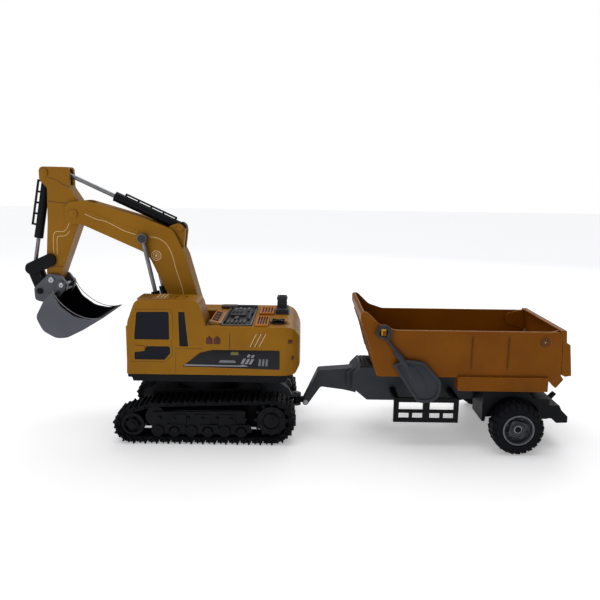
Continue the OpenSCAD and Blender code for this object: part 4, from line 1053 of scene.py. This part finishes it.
def make_tyre():
    tyre = Piece()
    tyre.lathe(from_tyre_face([(1, 14.5), (0.4, 15.5), (0, 17.5), (0.2, 20.5), (1.2, 22.6), (2.6, 23.6),
                               (9.5, 24), (16.4, 23.6), (17.8, 22.6), (18.8, 20.5), (19, 17.5),
                               (18.6, 15.5), (18, 14.5)]), AXLE, 72)
    for d, r in ((0.02, 16.4), (0.1, 19.2)):
        tyre.lathe(from_tyre_face([(d, r - 0.3), (d - 0.25, r), (d, r + 0.3), (d + 0.5, r)]), AXLE, 72)
    lug = Piece()
    lug.prism([(0.1, 20.4), (0.3, 23), (2, 24.6), (8.7, 24.9), (8.7, 23.4), (3, 23.2), (1.2, 20.6)],
              -1.7, 1.7, 0.35)
    lug.prism([(0.25, 21.4), (0.5, 23.2), (2.2, 24.8), (4.4, 24.9), (4.4, 23), (1.4, 21.4)],
              1.5, 3.1, 0.3)
    upright = Matrix.Rotation(math.radians(90), 4, "Z")
    lean = Matrix.Rotation(math.radians(8), 4, "Z")
    turned = Matrix.Rotation(math.radians(180), 4, "Z")
    at_face = Matrix.Translation((AXLE[0], TYRE_OUT, AXLE[1]))
    at_back = Matrix.Translation((AXLE[0], TYRE_OUT + TYRE_WIDTH, AXLE[1]))
    pitch = 360 / LUGS
    for k in range(LUGS):
        about = Matrix.Rotation(math.radians(pitch * k), 4, "Y")
        tyre.repeat(lug, [at_face @ about @ lean @ upright])
        about = Matrix.Rotation(math.radians(pitch * (k + 0.5)), 4, "Y")
        tyre.repeat(lug, [at_back @ about @ turned @ lean @ upright])
    lug.bm.free()
    return tyre


def make_rim():
    rim = Piece()
    rim.lathe(from_tyre_face([(0.5, 14.6), (0.2, 13.8), (0.7, 13), (2, 12.6), (4.8, 12.2), (5.6, 11),
                              (5.6, 3), (17.6, 3), (17.6, 14.6)]), AXLE, 56)
    for d, r0, r1 in ((1.2, 4, 5.6), (2, 6.6, 7.2)):
        rim.lathe(from_tyre_face([(d + 0.4, r0), (d, r0 + 0.3), (d, r1 - 0.3), (d + 0.4, r1), (6, r1),
                                  (6, r0)]), AXLE, 36)
    for k in range(8):
        centre = polar(AXLE, 10.2, math.radians(45 * k + 22.5))
        rim.lathe(from_tyre_face([(4.4, 0), (4.4, 0.9), (4.9, 1.3), (6, 1.3), (6, 0)]), centre, 10)
    half_plate = 8
    plate = [(AXLE[0] + x * half_plate, AXLE[1] + z * half_plate, 3.4)
             for x, z in ((-1, -1), (1, -1), (1, 1), (-1, 1))]
    rim.prism(plate, TYRE_OUT + 2.6, TYRE_OUT + 6, 0.5, spin(AXLE, 12), steps=6,
              holes=(disc(AXLE, 3.4, 28),))
    return rim


def make_rim_ring():
    return Piece().lathe(from_tyre_face([(0.4, 15), (0, 14.6), (0.2, 14), (1, 13.9), (1, 15)]), AXLE, 72)


def make_wheels():
    for side, name in ((-1, "left"), (1, "right")):
        for piece, kind, slot, material in (
                (make_tyre(), "tyre", "tyre_rubber", None),
                (make_rim(), "rim", "rim_plastic", None),
                (make_rim_ring(), "rim_ring", "rim_plastic", DETAIL["ring_light"])):
            if side > 0:
                piece.other_side()
            obj = piece.place(f"{name}_wheel_{kind}", f"{name}_wheel", slot, material)
            if kind != "rim_ring":
                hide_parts(f"{name}_trailer_{kind}")


def make_shovel():
    y = SHOVEL_FACE
    tool = Piece()
    tool.prism([(167, 112, 3), (174, 124, 4), (184, 120, 4), (182, 108, 3)], y, y + 3, 0.7,
               holes=([(170.6, 113.6, 1.5), (174.6, 120.4, 1.5), (180.4, 117.6, 1.5), (179, 110.5, 1.5)],))
    foot, end = Vector((178.6, 110.4)), Vector((197.5, 85))
    shaft, sizes = [], []
    for k in range(33):
        spot = foot.lerp(end, k / 32)
        shaft.append((spot.x, y + 1.5, spot.y))
        sizes.append(1.9 if k % 2 else 1.6)
    tool.tube(shaft, sizes, 14)
    tool.tube([(188.6, y + 1.5, 96.6), (189.4, y + 1.5, 95.6), (199, y + 1.6, 83), (200.4, y + 1.6, 81)],
              [2.2, 3, 3.1, 2.3], 18)
    blade = [(186, 84, 1), (199, 89, 2), (216, 87, 8), (233, 68, 4), (233, 47, 12), (211, 46, 8)]
    tool.prism(blade, y + 1, y + 2.6, 0.5)
    inner = [(190, 83.6, 1), (200, 86.6, 2), (214.8, 84.6, 7), (230.6, 67, 3.4), (230.4, 50, 9.6),
             (212, 48.8, 6.6)]
    tool.prism(blade, y, y + 1.6, 0.4, holes=(inner,))
    tool.prism([(198, 84.4, 3), (207, 82, 4), (216, 71, 6), (221.6, 56.4, 2), (209, 63.4, 6), (199, 76, 4)],
               y + 0.2, y + 1.6, 0.5)
    obj = tool.place("shovel_tool_shape", "shovel_tool", "dark_grey_plastic")
    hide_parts("shovel")


def make_trailer_details():
    peg = Piece()
    peg.box((173.8, SHOVEL_FACE - 1.4, 112.9), (178.2, SHOVEL_FACE + 4, 119.2), 0.6)
    for z in (114.2, 115.8, 117.4):
        peg.box((174.2, SHOVEL_FACE - 1.7, z), (177.8, SHOVEL_FACE - 1, z + 0.6), 0.1)
    peg.place("shovel_peg", "tub", "accent_orange", DETAIL["peg_yellow"])
    marks = Piece()
    end = y_reach("dump_tub", GATE_HINGE, 9)
    for radius in (4.4, 2.6):
        marks.prism(disc(GATE_HINGE, radius, 32), end - 0.25, end + 0.3, 0.06,
                    holes=(disc(GATE_HINGE, radius - 0.7, 32),))
    marks.mirrored().place("gate_hinge_rings", "tub", "accent_orange", DETAIL["brown_lines_and_seam_shade"])
    slots = Piece()
    cross_mark(slots, GATE_HINGE, end - 0.2, 1.6, 0.6)
    slots.mirrored().place("gate_hinge_marks", "tub", "accent_orange", DETAIL["hatch_cream"])
    # Brown vertical lines on the tub's sides: painted shade at the panel edges.
    rim = Piece()
    for x0, x1 in ((262, 262.6), (297, 297.6)):
        rim.prism([(x0, 80), (x1, 80), (x1, 112), (x0, 112)], end - 0.1, end + 0.3, 0.04)
    rim.mirrored().place("tub_side_lines", "tub", "accent_orange", DETAIL["brown_lines_and_seam_shade"])


# ---- Floor and the whole scene ----

def make_floor():
    mesh = bpy.data.meshes.new("floor")
    mesh.from_pydata([(-4, -3, 0), (4, -3, 0), (4, 5, 0), (-4, 5, 0)], [], [(0, 1, 2, 3)])
    floor = make_object("floor", mesh)
    shader = Shader("pale_floor")
    tone = shader.mix(shader.noise(3), rgb(244, 244, 245), rgb(240, 240, 242))
    shader.bsdf.inputs["Emission Color"].default_value = (1, 1, 1, 1)
    shader.bsdf.inputs["Emission Strength"].default_value = 0.3
    paint(floor, shader.finish(tone, shader.span(shader.noise(20), 0, 1, 0.5, 0.6)))


make_camera()
make_light()
dress_all()
for side, node in ((-1, "left_track_belt"), (1, "right_track_belt")):
    make_track(side, node)
make_track_details()
make_side_prints()
make_cab_details()
make_deck_details()
make_boom_prints()
make_stick_prints()
make_bucket_details()
make_pin_caps()
make_wheels()
make_shovel()
make_trailer_details()
make_floor()
